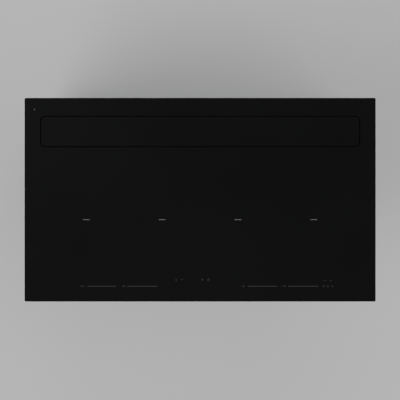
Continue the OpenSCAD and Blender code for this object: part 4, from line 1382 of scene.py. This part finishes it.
class COOKTOP_OT_studio(bpy.types.Operator):
    """Set up the plain floor, the soft light and the camera"""

    bl_idname = "cooktop.studio"
    bl_label = "Studio"

    def execute(self, context):
        size = context.scene.cooktop_studio
        self.floor(size)
        self.room(context, size)
        self.lamps(context)
        self.camera(context, size)
        return {"FINISHED"}

    def floor(self, size):
        """A wide round floor, open right under the duct so that the flaps in it get light."""
        low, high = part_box("duct_collar")
        mouth = Vector(((low.x + high.x) / 2, (low.y + high.y) / 2, CAD_LOW.z - FLOOR_GAP))
        bpy.ops.mesh.primitive_circle_add(vertices=64, radius=size.floor_opening, location=mouth)
        floor = settle(named(bpy.context.active_object, "floor"))
        edit(floor, "EDGE")
        bpy.ops.mesh.extrude_edges_move()
        scale = size.floor_radius / size.floor_opening
        bpy.ops.transform.resize(value=(scale, scale, 1), center_override=mouth)
        turn_outwards()
        close(floor)
        if floor.data.polygons[0].normal.z < 0:
            floor.data.flip_normals()
        floor.data.materials.append(self.floor_finish(size.floor_colour))

    def floor_finish(self, tint):
        """A plain colour that can be seen through from below."""
        f = Finish("floor")
        f.base(tint, roughness=0.9)
        back = f.nodes.new("ShaderNodeNewGeometry").outputs["Backfacing"]
        clear = f.nodes.new("ShaderNodeBsdfTransparent")
        mix = f.nodes.new("ShaderNodeMixShader")
        f.links.new(back, mix.inputs["Fac"])
        f.links.new(f.shader.outputs["BSDF"], mix.inputs[1])
        f.links.new(clear.outputs["BSDF"], mix.inputs[2])
        f.links.new(mix.outputs["Shader"], f.nodes["Material Output"].inputs["Surface"])
        return f.material

    def room(self, context, size):
        """Pale low walls, brighter on the key light's side, under a dark ceiling."""
        world = bpy.data.worlds.new("room")
        context.scene.world = world
        world.use_nodes = True
        nodes, links = world.node_tree.nodes, world.node_tree.links
        place = nodes.new("ShaderNodeTexCoord").outputs["Generated"]

        def towards(direction):
            """How far the view turns towards a direction, from -1 to 1."""
            dot = nodes.new("ShaderNodeVectorMath")
            dot.operation = "DOT_PRODUCT"
            dot.inputs[1].default_value = Vector(direction).normalized()
            links.new(place, dot.inputs[0])
            return dot.outputs["Value"]

        height = nodes.new("ShaderNodeValToRGB")
        height.color_ramp.interpolation = "B_SPLINE"
        # how far the view turns towards the ceiling, and how bright the room is there
        levels = (
            (0.0, size.walls), (0.15, size.walls), (0.5, size.upper_walls), (0.93, size.upper_walls * 0.9),
            (1.0, size.ceiling),
        )
        ramp = height.color_ramp.elements
        while len(ramp) < len(levels):
            ramp.new(0.5)
        for stop, (turn, level) in zip(ramp, levels):
            stop.position, stop.color = turn, (level, level, level, 1)
        links.new(towards(CEILING_SIDE), height.inputs["Fac"])
        key = nodes.new("ShaderNodeMapRange")
        key.interpolation_type = "SMOOTHSTEP"
        for socket, number in KEY_RISE.items():
            key.inputs[socket].default_value = number
        links.new(towards(KEY_SIDE), key.inputs["Value"])
        links.new(height.outputs["Color"], nodes["Background"].inputs["Color"])
        links.new(key.outputs["Result"], nodes["Background"].inputs["Strength"])

    def lamps(self, context):
        """Broad soft lamps round the cooktop, kept out of the glass's reflections."""
        for name, (place, power) in LAMPS.items():
            data = bpy.data.lights.new(name, "AREA")
            data.energy, data.size = power, LAMP_WIDTH
            lamp = bpy.data.objects.new(name, data)
            context.scene.collection.objects.link(lamp)
            lamp.location = place
            lamp.visible_glossy = False
            aim = Vector(LAMP_AIM) - lamp.location
            lamp.rotation_euler = aim.to_track_quat("-Z", "Y").to_euler()

    def camera(self, context, size):
        """A camera high over the glass that looks straight down on it."""
        data = bpy.data.cameras.new("camera")
        data.lens = data.sensor_width * size.camera_height / size.picture_width
        data.clip_end = CAMERA_REACH
        camera = bpy.data.objects.new("camera", data)
        context.scene.collection.objects.link(camera)
        camera.location = (CAMERA_X, CAMERA_Y, GLASS_TOP + size.camera_height)
        context.scene.camera = camera


OPERATORS = (
    COOKTOP_OT_finish_frame, COOKTOP_OT_glass_plate, COOKTOP_OT_cover_glass,
    COOKTOP_OT_zone_marks, COOKTOP_OT_slider_marks, COOKTOP_OT_touch_icons,
    COOKTOP_OT_soften_casings, COOKTOP_OT_flange_screws, COOKTOP_OT_clamp_bolts,
    COOKTOP_OT_stiffening_beads, COOKTOP_OT_riveted_seams, COOKTOP_OT_service_cover,
    COOKTOP_OT_drive_screws, COOKTOP_OT_terminal_lid, COOKTOP_OT_driver_cover, COOKTOP_OT_studio,
)
GROUPS = {
    "cooktop_glass": CooktopGlassSettings, "cooktop_print": CooktopPrintSettings,
    "cooktop_casing": CooktopCasingSettings, "cooktop_studio": CooktopStudioSettings,
}


class COOKTOP_PT_panel(bpy.types.Panel):
    """Lists the steps that model and finish the cooktop"""

    bl_idname = "COOKTOP_PT_panel"
    bl_label = "Cooktop"
    bl_space_type = "VIEW_3D"
    bl_region_type = "UI"
    bl_category = "Cooktop"

    def draw(self, context):
        for operator in OPERATORS:
            self.layout.operator(operator.bl_idname)
        for name, group in GROUPS.items():
            box = self.layout.box()
            box.label(text=group.__doc__)
            for key in group.__annotations__:
                box.prop(getattr(context.scene, name), key)


def register():
    for name, group in GROUPS.items():
        bpy.utils.register_class(group)
        setattr(bpy.types.Scene, name, bpy.props.PointerProperty(type=group))
    for operator in OPERATORS:
        bpy.utils.register_class(operator)
    bpy.utils.register_class(COOKTOP_PT_panel)


def unregister():
    bpy.utils.unregister_class(COOKTOP_PT_panel)
    for operator in reversed(OPERATORS):
        bpy.utils.unregister_class(operator)
    for name, group in GROUPS.items():
        delattr(bpy.types.Scene, name)
        bpy.utils.unregister_class(group)


def main():
    register()
    bpy.ops.cooktop.finish_frame()
    bpy.ops.cooktop.glass_plate()
    bpy.ops.cooktop.cover_glass()
    bpy.ops.cooktop.zone_marks()
    bpy.ops.cooktop.slider_marks()
    bpy.ops.cooktop.touch_icons()
    bpy.ops.cooktop.soften_casings()
    bpy.ops.cooktop.flange_screws()
    bpy.ops.cooktop.clamp_bolts()
    bpy.ops.cooktop.stiffening_beads()
    bpy.ops.cooktop.riveted_seams()
    bpy.ops.cooktop.service_cover()
    bpy.ops.cooktop.drive_screws()
    bpy.ops.cooktop.terminal_lid()
    bpy.ops.cooktop.driver_cover()
    bpy.ops.cooktop.studio()


if __name__ == "__main__":
    main()
